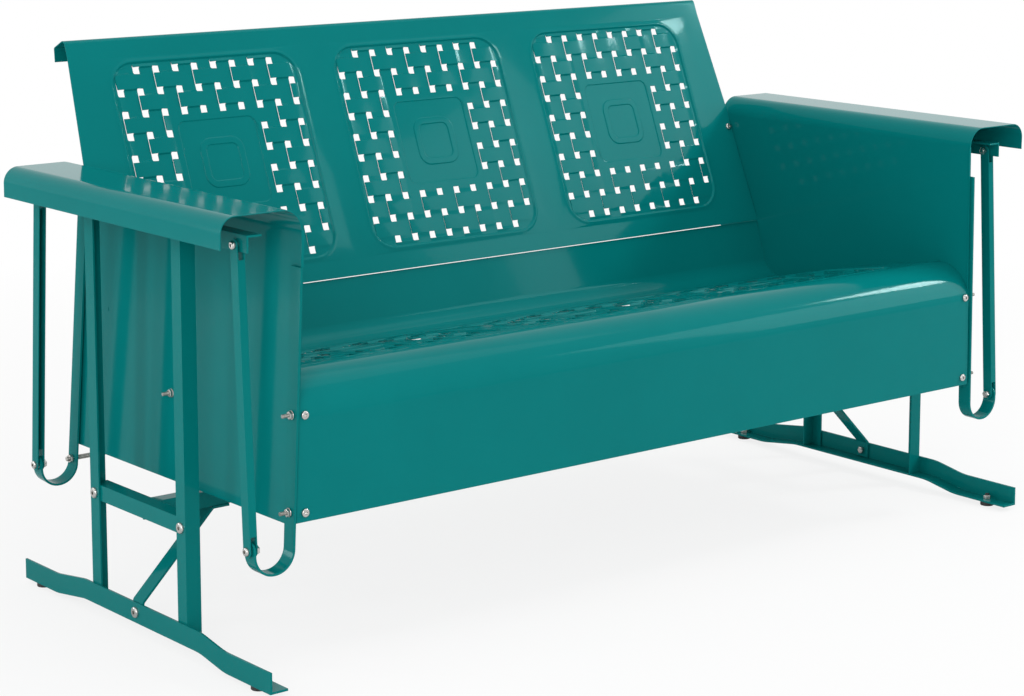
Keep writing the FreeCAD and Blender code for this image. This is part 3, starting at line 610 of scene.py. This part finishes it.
def bridge(piece, near, far, level):
    """Joins the two loops of open edges at a level whose reach lies in these bounds."""
    open_mesh(piece)
    chosen = pick(piece, "EDGE", lambda middle, edge: (
        is_open(edge) and near < reach(middle) < far and
        all(abs(corner.co.z / mm - level) < 0.01 for corner in edge.verts)))
    bpy.ops.mesh.bridge_edge_loops()
    close_mesh()
    return chosen


middle = rounded_square(MIDDLE_HALF, MIDDLE_RADIUS, [(SLOPE, MIDDLE_LEVEL - FIELD_LEVEL)])
open_middle(middle)
middle.location.z = FIELD_LEVEL * mm
ring = rounded_square(RING_HALF, RING_RADIUS, [(SLOPE, RING_RISE), (RING_CREST, 0), (SLOPE, -RING_RISE)])
ring.location.z = MIDDLE_LEVEL * mm
for piece in (middle, ring):
    settle(piece)
join(panel, middle, ring)
print("bridged around the ring:", bridge(panel, RING_HALF - 8, MIDDLE_HALF - 1.5, MIDDLE_LEVEL))
print("bridged around the middle:", bridge(panel, MIDDLE_HALF - 3.6, OPENING + 0.1, FIELD_LEVEL))
bpy.ops.mesh.primitive_plane_add(size=2 * mm, location=(0, 0, 0))
border = bpy.context.object
border.scale = (WINDOW[0], WINDOW[1], 1)
settle(border)
open_mesh(border)
bpy.ops.mesh.delete(type="ONLY_FACE")
close_mesh()
join(panel, border)
open_mesh(panel)
pick(panel, "EDGE", lambda middle, edge: is_open(edge) and
     PANEL_HALF - 16 < reach(middle) < WINDOW[0] + 0.5 and
     all(abs(corner.co.z) < 0.01 * mm for corner in edge.verts))
bpy.ops.mesh.fill()
bpy.ops.mesh.select_all(action="SELECT")
bpy.ops.mesh.normals_make_consistent(inside=False)
close_mesh()
up = sum(face.normal.z * face.area for face in panel.data.polygons)
print("the panel's faces point up:", up > 0)

# %% [markdown]
# The finished panel has the size of a window that is cut into the flat blank before folding. Three copies
# are laid into three windows side by side, and merging the doubled corners makes them part of the sheet.

# %% Set three panels in a sheet


def turned_copy(source, lean, place):
    """A copy with its own mesh, leaned about X and put in its place."""
    copy = source.copy()
    copy.data = source.data.copy()
    bpy.context.scene.collection.objects.link(copy)
    copy.rotation_euler = (lean, 0, 0)
    copy.location = place
    settle(copy)
    return copy


def set_in_panels(sheet, start, heading, along):
    """Cuts a row of three windows around a distance along the sheet, and sets a woven panel in each."""
    half_x, half_y = WINDOW
    open_mesh(sheet)
    for offset in (-half_y, half_y):
        bpy.ops.mesh.select_all(action="SELECT")
        bpy.ops.mesh.bisect(plane_co=start + heading * (along + offset) * mm, plane_no=heading)
    for number in (-3, -1, 1, 3):
        bpy.ops.mesh.select_all(action="SELECT")
        bpy.ops.mesh.bisect(plane_co=(number * half_x * mm, 0, 0), plane_no=(1, 0, 0))
    pick(sheet, "FACE", lambda middle, face: abs(middle.x) < 3 * half_x * mm and
         abs((middle - start).dot(heading) / mm - along) < half_y)
    bpy.ops.mesh.delete(type="FACE")
    close_mesh()
    lean = math.atan2(heading.z, heading.y)
    centre = start + heading * along * mm
    places = [centre + Vector((number * 2 * half_x * mm, 0, 0)) for number in (-1, 0, 1)]
    join(sheet, *[turned_copy(panel, lean, place) for place in places])
    open_mesh(sheet)
    bpy.ops.mesh.remove_doubles(threshold=0.00002)
    close_mesh()


# %% [markdown]
# The seat is one sheet: an apron at the front, a large roll under the knees, a gently crowned seat, and a
# riser at the back. Its ends are trimmed along the arms' walls, which lean outward towards the floor.

# %% Seat
BOTH = (-1, 1)
SIDES = (("left", -1), ("right", 1))
SHEET = 1.6
WALL_TOP_X = 698
WALL_TOP_Z = 664
WALL_LEAN = math.radians(1.92)
END_GAP = 0.6
BLANK_HALF = 720


def wall_x(z):
    """The arm wall's seat side at a height, in millimetres."""
    return WALL_TOP_X + (WALL_TOP_Z - z) * math.tan(WALL_LEAN)


def trim(piece, place, outward):
    """Cuts off what lies beyond a plane."""
    open_mesh(piece)
    bpy.ops.mesh.bisect(plane_co=place, plane_no=outward, clear_outer=True)
    close_mesh()


def cut_off(piece, wanted, place, outward):
    """Cuts the faces that pass a test along a plane, and takes away what lies beyond it."""
    pick(piece, "FACE", wanted)
    bpy.ops.mesh.bisect(plane_co=place, plane_no=outward)
    pick(piece, "FACE", lambda middle, face: wanted(middle, face) and (middle - place).dot(outward) > 0)
    bpy.ops.mesh.delete(type="FACE")


def thicken(piece, offset):
    """Gives the sheet its thickness and small rounds."""
    add_modifier(piece, "SOLIDIFY", thickness=SHEET * mm, offset=offset)
    soften(piece, 0.4 * mm, 32, clamp=False)


RISER_FOOT = (161.5, 352)
RISER_TOP_Z = 457.3
RISER_LEAN = math.radians(16.2)
riser_top_y = RISER_FOOT[0] + (RISER_TOP_Z - RISER_FOOT[1]) * math.tan(RISER_LEAN)
seat_path = [(-337, 231, 0), (-340.5, 443.5, 65), (-271, 443.5, 12), (-89, 410.8, 800), (*RISER_FOOT, 40),
             (riser_top_y, RISER_TOP_Z, 0)]
SEAT_PANELS_AT = 444
seat, start, heading, hinges = flat_blank(seat_path, -BLANK_HALF, BLANK_HALF)
set_in_panels(seat, start, heading, SEAT_PANELS_AT)
fold(seat, start, heading, hinges)
for side in BOTH:
    end_face = (side * math.cos(WALL_LEAN), 0, math.sin(WALL_LEAN))
    trim(seat, ((wall_x(400) - END_GAP) * side * mm, 0, 400 * mm), end_face)
thicken(seat, -1)
finish_piece(seat, "seat_pan", sheet_paint)
print("seat:", [round(c / mm, 1) for c in seat.dimensions], "faces:", len(seat.data.polygons))

# %% [markdown]
# The back is a second sheet of the same kind. Its upper edge is folded to the rear and down, so that nobody
# leans on a raw edge. Its sides narrow towards the top, and their lower part is turned to the rear, to be
# bolted to the arms.

# %% Back
BACK_FOOT = Vector((0, 188.4, 459.5)) * mm
BACK_LEAN = math.radians(21.9)
up_back = Vector((0, math.sin(BACK_LEAN), math.cos(BACK_LEAN)))
rearward = Vector((0, math.cos(BACK_LEAN), -math.sin(BACK_LEAN)))


def on_back(w, v):
    """The world Y and Z, in millimetres, of a place w behind the back's front face and v up it."""
    place = BACK_FOOT / mm + rearward * w + up_back * v
    return place.y, place.z


back_path = [(*on_back(0, 0), 0), (*on_back(0, 443.8), 8), (*on_back(36.3, 441.3), 4),
             (*on_back(43.1, 419), 0)]
BACK_PANELS_AT = 218.3
TURNED_EDGE = 18
TURNED_FROM, TURNED_TO = 6, 200
back, start, heading, hinges = flat_blank(back_path, -BLANK_HALF, BLANK_HALF)
set_in_panels(back, start, heading, BACK_PANELS_AT)
# The line of the back's side edge, as distances up the sheet and half widths.
edge_line = [(0, 704.2), (215, wall_x(659) - END_GAP), (414, 683.6), (600, 683.6)]


def in_margin(side, low=-1, high=1000):
    """A test for the back's faces beside the outer panel, between two distances up the sheet."""
    return lambda middle, face: (middle.x * side > 3 * WINDOW[0] * mm and
                                 low < (middle - BACK_FOOT).dot(up_back) / mm < high)


open_mesh(back)
for side in BOTH:
    for cut in (TURNED_FROM, TURNED_TO, edge_line[1][0], edge_line[2][0]):
        pick(back, "FACE", in_margin(side))
        bpy.ops.mesh.bisect(plane_co=BACK_FOOT + up_back * cut * mm, plane_no=up_back)
    for (low, low_x), (high, high_x) in zip(edge_line, edge_line[1:]):
        slope = (high_x - low_x) / (high - low)
        outward = (Vector((side, 0, 0)) - up_back * slope).normalized()
        edge_foot = BACK_FOOT + up_back * low * mm + Vector((low_x * side * mm, 0, 0))
        cut_off(back, in_margin(side, low, high), edge_foot, outward)
close_mesh()
fold(back, start, heading, hinges)
open_mesh(back)
for side in BOTH:
    pick(back, "EDGE", lambda middle, edge: is_open(edge) and middle.x * side > 690 * mm and
         TURNED_FROM < (middle - BACK_FOOT).dot(up_back) / mm < TURNED_TO)
    bpy.ops.mesh.extrude_edges_move(TRANSFORM_OT_translate={"value": rearward * TURNED_EDGE * mm})
    crease = pick(back, "EDGE", lambda middle, edge: not is_open(edge) and middle.x * side > 690 * mm and
                  abs((edge.verts[0].co - edge.verts[1].co).normalized().dot(up_back)) > 0.9 and
                  abs((middle - BACK_FOOT).dot(rearward)) < 0.1 * mm)
    bpy.ops.mesh.bevel(offset=1.5 * mm, segments=3, affect="EDGES")
    print("turned edge creases:", crease)
close_mesh()
thicken(back, -1)
finish_piece(back, "backrest", sheet_paint)
print("back:", [round(c / mm, 1) for c in back.dimensions], "faces:", len(back.data.polygons))

# %% [markdown]
# Each arm is one sheet too: a short outer lip, a flat armrest and a wall that reaches down past the seat.
# It is folded from the lip inward, lying across the bench, and then turned a quarter turn to its side of
# the bench. The wall's front edge is turned inward, widely behind the apron and narrowly above the seat.

# %% Arms
ARM_FACE_X = 834.5
ARM_TOP_Z = 686
WALL_FOOT_Z = 226
ARM_BLANK_FRONT = 345
ARM_BLANK_REAR = 306
# The two flanges of the wall's front edge: the height each starts at, the height it ends at, and its width.
WIDE_FLANGE = (232, 369, 24)
NARROW_FLANGE = (404, 655, 3)
FLANGE_CORNER = 23
ELBOW_Z = 635.5


def arm_panel(name, side):
    """Folds, turns and trims one arm. Its front flange is wide below and narrow above the seat."""
    path = [(ARM_FACE_X, 639.5, 0), (ARM_FACE_X, ARM_TOP_Z, 25), (wall_x(ARM_TOP_Z), ARM_TOP_Z, 32),
            (wall_x(WALL_FOOT_Z), WALL_FOOT_Z, 0)]
    low_x, high_x = sorted((ARM_BLANK_FRONT * side, -ARM_BLANK_REAR * side))
    arm, start, heading, hinges = flat_blank(path, low_x, high_x)
    fold(arm, start, heading, hinges)
    arm.rotation_euler.z = math.radians(-90 * side)
    settle(arm)
    open_mesh(arm)
    wide_from, wide_to, wide = WIDE_FLANGE
    for cut in (wide_from, wide_to - wide, wide_to, NARROW_FLANGE[0], ELBOW_Z, NARROW_FLANGE[1]):
        bpy.ops.mesh.select_all(action="SELECT")
        bpy.ops.mesh.bisect(plane_co=(0, 0, cut * mm), plane_no=(0, 0, 1))
    # The rear edge is upright down to the elbow and runs a little to the rear below it.
    elbow = Vector((0, 282, ELBOW_Z)) * mm
    cut_off(arm, lambda middle, face: middle.z > elbow.z, elbow, Vector((0, 1, 0)))
    cut_off(arm, lambda middle, face: middle.z < elbow.z, elbow, Vector((0, 410.5, 22)).normalized())
    # The front edge is upright above the wall's top and falls back a little below it.
    knee = Vector((0, -341.4, WALL_TOP_Z)) * mm
    cut_off(arm, lambda middle, face: True, knee, Vector((0, -1, 0)))
    cut_off(arm, lambda middle, face: True, knee, Vector((0, -439, -7.9)).normalized())
    for low, high, width in (NARROW_FLANGE, WIDE_FLANGE):
        pick(arm, "EDGE", lambda middle, edge: is_open(edge) and low < middle.z / mm < high and
             middle.y < -330 * mm and abs(edge.verts[0].co.z - edge.verts[1].co.z) > mm and
             abs(middle.x) / mm < wall_x(middle.z / mm) + 0.2)
        bpy.ops.mesh.extrude_edges_move(TRANSFORM_OT_translate={"value": (-width * side * mm, 0, 0)})
    pick(arm, "VERT", lambda place, corner: abs(place.z - wide_to * mm) < 0.1 * mm and
         place.y < -330 * mm and abs(place.x) / mm < wall_x(wide_to) - 20)
    bpy.ops.transform.translate(value=(FLANGE_CORNER * side * mm, 0, 0))
    close_mesh()
    thicken(arm, 1)
    finish_piece(arm, f"arm_panel_{name}", sheet_paint)
    print(name, "arm:", [round(c / mm, 1) for c in arm.dimensions], "faces:", len(arm.data.polygons))


for name, side in SIDES:
    arm_panel(name, side)
bpy.data.objects.remove(panel)

# %% [markdown]
# Zinc-plated screws and nuts hold the bench together. A button-head screw is a short round bar: its rim is
# rounded off, a hexagon is cut into its face, and a thinner bar stands behind it as the shank. A nut is a
# six-sided bar with its corners taken off. Each kind is modelled once, pointing along X, and then copied to
# every place where it sits.

# %% Screws, nuts and studs
ALONG_X = (0, math.radians(90), 0)
NUT_HEIGHT = 6.2


def rod_along_x(radius, low, high, sides=24):
    """A bar along X whose two ends have a small chamfer."""
    bpy.ops.mesh.primitive_cylinder_add(vertices=sides, radius=radius * mm, depth=(high - low) * mm,
                                        location=((low + high) / 2 * mm, 0, 0), rotation=ALONG_X)
    rod = bpy.context.object
    settle(rod)
    open_mesh(rod)
    pick(rod, "EDGE", lambda middle, edge: abs(edge.verts[0].co.x - edge.verts[1].co.x) < 0.0001 * mm)
    bpy.ops.mesh.bevel(offset=min(0.5, radius / 10) * mm, segments=1, affect="EDGES")
    close_mesh()
    return rod


def screw_head(radius, height, socket):
    """A rounded head that sits on X = 0, with a hexagon socket in its outer face."""
    bpy.ops.mesh.primitive_cylinder_add(vertices=24, radius=radius * mm, depth=height * mm,
                                        location=(height / 2 * mm, 0, 0), rotation=ALONG_X)
    head = bpy.context.object
    bpy.ops.mesh.primitive_circle_add(vertices=6, radius=socket * mm, location=(height * mm, 0, 0),
                                      rotation=ALONG_X)
    hexagon = bpy.context.object
    for piece in (head, hexagon):
        settle(piece)
    open_mesh(head)
    pick(head, "EDGE", lambda middle, edge: all(corner.co.x > (height - 0.01) * mm for corner in edge.verts))
    bpy.ops.mesh.bevel(offset=0.6 * height * mm, segments=4, affect="EDGES")
    pick(head, "FACE", lambda middle, face: len(face.verts) == 24 and middle.x > height / 2 * mm)
    bpy.ops.mesh.delete(type="ONLY_FACE")
    close_mesh()
    join(head, hexagon)
    open_mesh(head)
    pick(head, "EDGE", lambda middle, edge: is_open(edge))
    bpy.ops.mesh.fill()
    pick(head, "EDGE", lambda middle, edge: is_open(edge))
    bpy.ops.mesh.extrude_edges_move(TRANSFORM_OT_translate={"value": (-0.7 * height * mm, 0, 0)})
    bpy.ops.mesh.edge_face_add()
    bpy.ops.mesh.select_all(action="SELECT")
    bpy.ops.mesh.normals_make_consistent(inside=False)
    close_mesh()
    take_up(head)
    bpy.ops.object.shade_smooth_by_angle(angle=math.radians(35))
    return head


def hexagon_nut(radius, height):
    """A nut that sits on X = 0, with the corners of both ends taken off."""
    chamfer = 0.6
    bpy.ops.mesh.primitive_cylinder_add(vertices=6, radius=radius * mm, depth=(height - 2 * chamfer) * mm,
                                        location=(height / 2 * mm, 0, 0), rotation=ALONG_X)
    piece = bpy.context.object
    settle(piece)
    open_mesh(piece)
    pick(piece, "FACE", lambda middle, face: len(face.verts) == 6)
    bpy.ops.mesh.inset(thickness=0.16 * radius * mm, depth=chamfer * mm, use_individual=True)
    close_mesh()
    return piece


screw = join(screw_head(6.4, 4.2, 2.6), rod_along_x(3.8, -20.0, 0.1, 16))
wide_screw = join(screw_head(8.5, 4.2, 3.2), rod_along_x(3.8, -14.2, 0.1, 16))
short_screw = join(screw_head(6.4, 3.6, 2.4), rod_along_x(3, -6, 0.1, 16))
nut = hexagon_nut(6.8, NUT_HEIGHT)
small_nut = join(hexagon_nut(6.2, 5), rod_along_x(6.8, -0.1, 1.1))
stud = rod_along_x(2.9, -5, 17, 16)
patterns = [screw, wide_screw, short_screw, nut, small_nut, stud]
print("faces of the patterns:", [len(piece.data.polygons) for piece in patterns])

# %% [markdown]
# The studs and the tie rod are threaded. A real thread would need thousands of tiny faces, so it is drawn
# in the material, as fine bands across the rod: painted shade darkens the grooves and a painted highlight
# brightens the crests, with a bump that bends the light between them.

# %% Thread


def threaded_zinc():
    plate = Finish("threaded_zinc")
    place = place_on_piece(plate)
    spots = plate.noise(place, 0.0012, 4.0)
    bands = plate.put("ShaderNodeTexWave", {"bands_direction": "X"}, {"Vector": place, "Scale": 314.0})
    skin = plate.put("ShaderNodeBump", {}, {"Height": bands, "Strength": 0.9, "Distance": 0.0004})
    # The bands' colour is painted shade in the grooves and a painted highlight on the crests.
    colour = plate.blend(bands, (0.24, 0.23, 0.21, 1), (0.56, 0.55, 0.52, 1))
    plate.surface({"Base Color": colour, "Metallic": 1.0, "Roughness": 0.22 + spots * 0.25, "Normal": skin})
    return plate.material


thread = threaded_zinc()
print("thread:", thread.name)

# %% [markdown]
# The drawing says where each fastener sits: at what distance from the middle, how deep and how high. A
# bolt's head lies against the outer bar's face and its nut against the inner one, both pointing away from
# the bench's middle. The lower pivots belong to the links, so their places are read from the frame.

# %% Put the fasteners in their places
OUT = {-1: Vector((-1, 0, 0)), 1: Vector((1, 0, 0))}
POST_FACE_X = 788
SKID_FACE_X = 792
# Each nut sits inside two bars: post and crossbar, or skid and brace.
CROSSBAR_NUT_X = POST_FACE_X - 6 - NUT_HEIGHT
BRACE_NUT_X = SKID_FACE_X - 7.5 - NUT_HEIGHT
LINK_INNER_X, LINK_OUTER_X = 777.2, 789.8
CLEARANCE = 0.3
CROSSBAR_BOLT_Z = 196.25
BRACE_BOLT = (-19, 37)
UPPER_PIVOT_Z = 638


def placed(pattern, outward, x, y, z):
    """A copy of a pattern that points outward at a place."""
    copy = pattern.copy()
    copy.data = pattern.data.copy()
    bpy.context.scene.collection.objects.link(copy)
    turn = Vector((1, 0, 0)).rotation_difference(outward).to_matrix().to_4x4()
    copy.matrix_world = Matrix.Translation(Vector((x, y, z)) * mm) @ turn
    settle(copy)
    return copy


def fasteners(node, pieces, finish=zinc):
    """Pieces that take over from a node of plain fasteners."""
    return finish_piece(join(*pieces), node, finish)


def extras(name, pieces, body, finish=zinc):
    """Small pieces that no plain solid stands for."""
    piece = join(*pieces)
    piece.name = name
    piece.data.name = name
    piece.data.materials.clear()
    piece.data.materials.append(finish)
    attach(piece, body)
    return piece


def lower_pivot(end, name):
    """The depth and height of a link's lower pivot, in millimetres."""
    low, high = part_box(f"lower_pivot_bolt_{end}_{name}")
    return (low[1] + high[1]) / 2 / mm, (low[2] + high[2]) / 2 / mm


crossbar_places = [(side, y, CROSSBAR_BOLT_Z) for side in BOTH for y in (-147.5, 103.5)]
fasteners("crossbar_bolts", [placed(wide_screw, OUT[s], POST_FACE_X * s, *place)
                             for s, *place in crossbar_places])
fasteners("brace_bolts", [placed(wide_screw, OUT[s], SKID_FACE_X * s, *BRACE_BOLT) for s in BOTH])
low_nuts = [placed(nut, OUT[s], CROSSBAR_NUT_X * s, *place) for s, *place in crossbar_places]
low_nuts += [placed(nut, OUT[s], BRACE_NUT_X * s, *BRACE_BOLT) for s in BOTH]
fasteners("base_nuts", low_nuts)
upper_places = [(side, y) for side in BOTH for y in (-305, 261)]
for node, pattern, x in (("upper_pivot_bolts", screw, LINK_OUTER_X + CLEARANCE),
                         ("upper_pivot_nuts", nut, LINK_INNER_X - CLEARANCE - NUT_HEIGHT)):
    fasteners(node, [placed(pattern, OUT[s], x * s, y, UPPER_PIVOT_Z) for s, y in upper_places])
lower_places = [(end, name, side, *lower_pivot(end, name))
                for name, side in SIDES for end in ("front", "rear")]
for end, name, side, y, z in lower_places:
    nut_x = LINK_INNER_X - NUT_HEIGHT
    fasteners(f"lower_pivot_bolt_{end}_{name}", [placed(screw, OUT[side], LINK_OUTER_X * side, y, z)])
    fasteners(f"lower_pivot_nut_{end}_{name}", [placed(nut, OUT[side], nut_x * side, y, z)])
print("lower pivots:", [(end, name, round(z, 1)) for end, name, side, y, z in lower_places])

# %% [markdown]
# A threaded rod joins the two rear pivots behind the seat. The straps are held to the arm walls by studs
# with nuts at the front and by short riveted pins at the rear, where a gap shows between strap and wall.
# Button-head screws close the apron and the back against the arms. The rod and its nuts take over from
# plain solids. The studs, the pins and the screws have none, so they are pieces of the scene alone.

# %% Tie rod, studs and the screws of the apron and the back
TIE_ROD_HALF = 733
TIE_ROD_NUT_X = 722.6
STUD_HEIGHTS = (247, 389)
MIDDLE_STUD = (-1, 361)
PIN_HEIGHTS = (272, 382.5, 520)
rear_y, rear_z = lower_pivot("rear", "right")
tie_rod = rod_along_x(3.9, -TIE_ROD_HALF, TIE_ROD_HALF, 16)
tie_rod.location = (0, rear_y * mm, rear_z * mm)
settle(tie_rod)
finish_piece(tie_rod, "rear_tie_rod", thread)
fasteners("tie_rod_nuts", [placed(nut, OUT[s], TIE_ROD_NUT_X * s, rear_y, rear_z) for s in BOTH])
# For each end: the strap's outer face from the wall, its pivot's depth and height, and its tilt in degrees.
STRAPS = {"front": (5.4, -327.08, 202.06, 1.06), "rear": (8.6, rear_y, rear_z, 3.7)}


def strap_middle(end, z):
    """The depth of a strap's middle line at a height, and how far out its outer face is there."""
    off_wall, pivot_y, pivot_z, tilt = STRAPS[end]
    return pivot_y - (z - pivot_z) * math.tan(math.radians(tilt)), wall_x(z) + off_wall


stud_places = []
for side in BOTH:
    for height in STUD_HEIGHTS:
        y, x = strap_middle("front", height)
        stud_places.append((side, x, y, height))
    stud_places.append((side, wall_x(MIDDLE_STUD[1]) + SHEET, *MIDDLE_STUD))
extras("strap_studs", [placed(stud, OUT[s], x * s, y, z) for s, x, y, z in stud_places], "seat", thread)
extras("strap_nuts", [placed(small_nut, OUT[s], (x + 1.1) * s, y, z) for s, x, y, z in stud_places], "seat")
pin = rod_along_x(3.5, 0.1, 3.4, 16)
pins = []
for side in BOTH:
    for height in PIN_HEIGHTS:
        y, x = strap_middle("rear", height)
        pins.append(placed(pin, OUT[side], (x - 7) * side, y, height))
extras("strap_pins", pins, "seat")
patterns.append(pin)
TOWARDS_SITTER = Vector((0, -1, 0))
apron_places = [(x, *place) for x in (-697, 697) for place in ((-337.3, 245), (-339, 388))]
extras("apron_screws", [placed(short_screw, TOWARDS_SITTER, *place) for place in apron_places], "seat")
side_screws = []
for side in BOTH:
    y, z = on_back(-0.2, 186)
    side_screws.append(placed(short_screw, -rearward, (wall_x(z) - 10) * side, y, z))
extras("back_screws", side_screws, "seat")
print("studs:", len(stud_places))

# %% [markdown]
# A short tube on each pivot bolt keeps the painted bars from rubbing on each other. The upper ones stay
# with the rail and the lower ones with their link.

# %% Pivot spacers
UPPER_SPACERS_X = (779.6, 785.1)
LOWER_SPACERS_X = (779.2, 785.6)
spacer = rod_along_x(6.6, 0, 2.2)
patterns.append(spacer)
upper_spacers = []
for side, y in upper_places:
    upper_spacers += [placed(spacer, OUT[side], x * side, y, UPPER_PIVOT_Z) for x in UPPER_SPACERS_X]
extras("upper_spacers", upper_spacers, "base")
for end, name, side, y, z in lower_places:
    pair = [placed(spacer, OUT[side], x * side, y, z) for x in LOWER_SPACERS_X]
    extras(f"lower_spacers_{end}_{name}", pair, f"link_{end}_{name}")
print("spacers:", 2 * len(upper_places) + 2 * len(lower_places))

# %% [markdown]
# The four glides are moulded in black plastic: a round foot with a shallow dish in its top, on a threaded
# stem with a nut. Turning the stem levels the bench.

# %% Glides
UP = Vector((0, 0, 1))
FOOT_X = 777
FOOT_NUT_Z = 11.5
foot = rod_along_x(12, 0, 8)
open_mesh(foot)
pick(foot, "FACE", lambda middle, face: len(face.verts) == 24 and middle.x > 7 * mm)
bpy.ops.mesh.inset(thickness=3.5 * mm, depth=0)
bpy.ops.mesh.inset(thickness=1.5 * mm, depth=-1.5 * mm)
close_mesh()
foot = join(foot, rod_along_x(3.8, 6, 20.5, 16))
patterns.append(foot)
foot_places = [(FOOT_X * side, y) for side in BOTH for y in (-334, 293)]
fasteners("levelling_feet", [placed(foot, UP, x, y, 0) for x, y in foot_places], plastic)
fasteners("foot_nuts", [placed(nut, UP, x, y, FOOT_NUT_Z) for x, y in foot_places])
for pattern in patterns:
    bpy.data.objects.remove(pattern)
print("glides:", len(foot_places))

# %% [markdown]
# The floor and the light are those of a photographer's studio. The floor is plain and pale, and keeps the
# bench's soft shadow. To look white in the picture it also glows, but only for the camera: a Light Path
# node tells camera rays from all others, so that no extra light falls on the bench. The glow grows with the
# distance.

# %% Floor
FADE_FROM, FADE_TO = 1.3, 3.0
NEAR_WHITENESS = 0.82


def studio_floor():
    """A pale floor that fades to white away from the bench."""
    bpy.ops.mesh.primitive_plane_add(size=30, location=(0, 0, 0))
    floor = bpy.context.object
    floor.name = "studio_floor"
    pale = Finish("pale_floor")
    place = place_on_piece(pale)
    grain = pale.noise(place, 0.5)
    colour = pale.blend(grain, (0.80, 0.80, 0.80, 1), (0.83, 0.83, 0.83, 1))
    pale.surface({"Base Color": colour, "Roughness": 0.9, "Specular IOR Level": 0.0})
    seen = pale.put("ShaderNodeLightPath", {}, {}, "Is Camera Ray")
    distance = pale.put("ShaderNodeVectorMath", {"operation": "LENGTH"}, {0: place}, "Value")
    fade = {"Value": distance, "From Min": FADE_FROM, "From Max": FADE_TO}
    far = pale.put("ShaderNodeMapRange", {}, fade)
    glow = pale.put("ShaderNodeEmission", {}, {"Color": (1, 1, 1, 1), "Strength": 1.0})
    whiteness = seen * (NEAR_WHITENESS + (1 - NEAR_WHITENESS) * far)
    mix = pale.put("ShaderNodeMixShader", {}, {0: whiteness, 1: Wire(pale, pale.shader.outputs[0]), 2: glow})
    pale.tree.links.new(mix.socket, pale.output.inputs["Surface"])
    floor.data.materials.append(pale.material)
    return floor


print("floor:", studio_floor().name)

# %% [markdown]
# Gloss paint shows its shape by what it mirrors, so the lamps are chosen for their reflections as much as
# for their light. Two large soft ones light the front from both sides, a third hangs overhead, a small
# strong one on the right makes the white streak along the seat's roll, and two upright strips show as bands
# in the left arm's wall.

# %% Lamps


def soft_lamp(name, place, aim, width, height, power):
    """A rectangular lamp at a place, turned towards its aim. The camera doesn't see it."""
    lamp_data = bpy.data.lights.new(name, "AREA")
    lamp_data.shape = "RECTANGLE"
    lamp_data.size = width
    lamp_data.size_y = height
    lamp_data.energy = power
    lamp = bpy.data.objects.new(name, lamp_data)
    lamp.location = place
    lamp.visible_camera = False
    lamp.rotation_euler = (Vector(aim) - Vector(place)).to_track_quat("-Z", "Y").to_euler()
    bpy.context.scene.collection.objects.link(lamp)
    return lamp


soft_lamp("overhead", (0.3, -0.6, 3.6), (0, 0, 0.4), 3.6, 2.6, 28)
soft_lamp("front_left", (-3.4, -3.0, 1.9), (0, 0, 0.4), 1.8, 2.2, 66)
soft_lamp("front_right", (3.4, -2.6, 1.9), (0.2, 0, 0.4), 1.6, 2.0, 38)
soft_lamp("glint_on_the_roll", (2.8, -1.15, 2.32), (0.58, -0.32, 0.42), 0.5, 0.38, 24)
soft_lamp("rear_left_strip", (-2.9, 2.4, 1.0), (-0.8, 0, 0.4), 0.3, 2.2, 16)
soft_lamp("left_strip", (-3.6, 0.6, 1.1), (-0.8, 0, 0.4), 0.4, 2.0, 14)
print("lamps:", len(bpy.data.lights))

# %% [markdown]
# The world around the bench is white where it is seen directly or in a reflection, and a little darker
# where it only lights the bench.

# %% World
AMBIENT = 0.66
world = bpy.data.worlds.new("pale_studio")
world.use_nodes = True
bpy.context.scene.world = world
sky = world.node_tree
background = sky.nodes["Background"]
background.inputs["Color"].default_value = (1, 1, 1, 1)


def either(first, second):
    """1 where either of two sockets is 1."""
    node = sky.nodes.new("ShaderNodeMath")
    node.operation = "MAXIMUM"
    sky.links.new(first, node.inputs[0])
    sky.links.new(second, node.inputs[1])
    return node.outputs[0]


rays = sky.nodes.new("ShaderNodeLightPath").outputs
shiny = either(rays["Is Glossy Ray"], rays["Is Transmission Ray"])
strength = sky.nodes.new("ShaderNodeMapRange")
strength.inputs["To Min"].default_value = AMBIENT
strength.inputs["To Max"].default_value = 1.0
sky.links.new(either(rays["Is Camera Ray"], shiny), strength.inputs["Value"])
sky.links.new(strength.outputs["Result"], background.inputs["Strength"])
bpy.context.scene.view_settings.view_transform = "Standard"
print("world:", world.name)
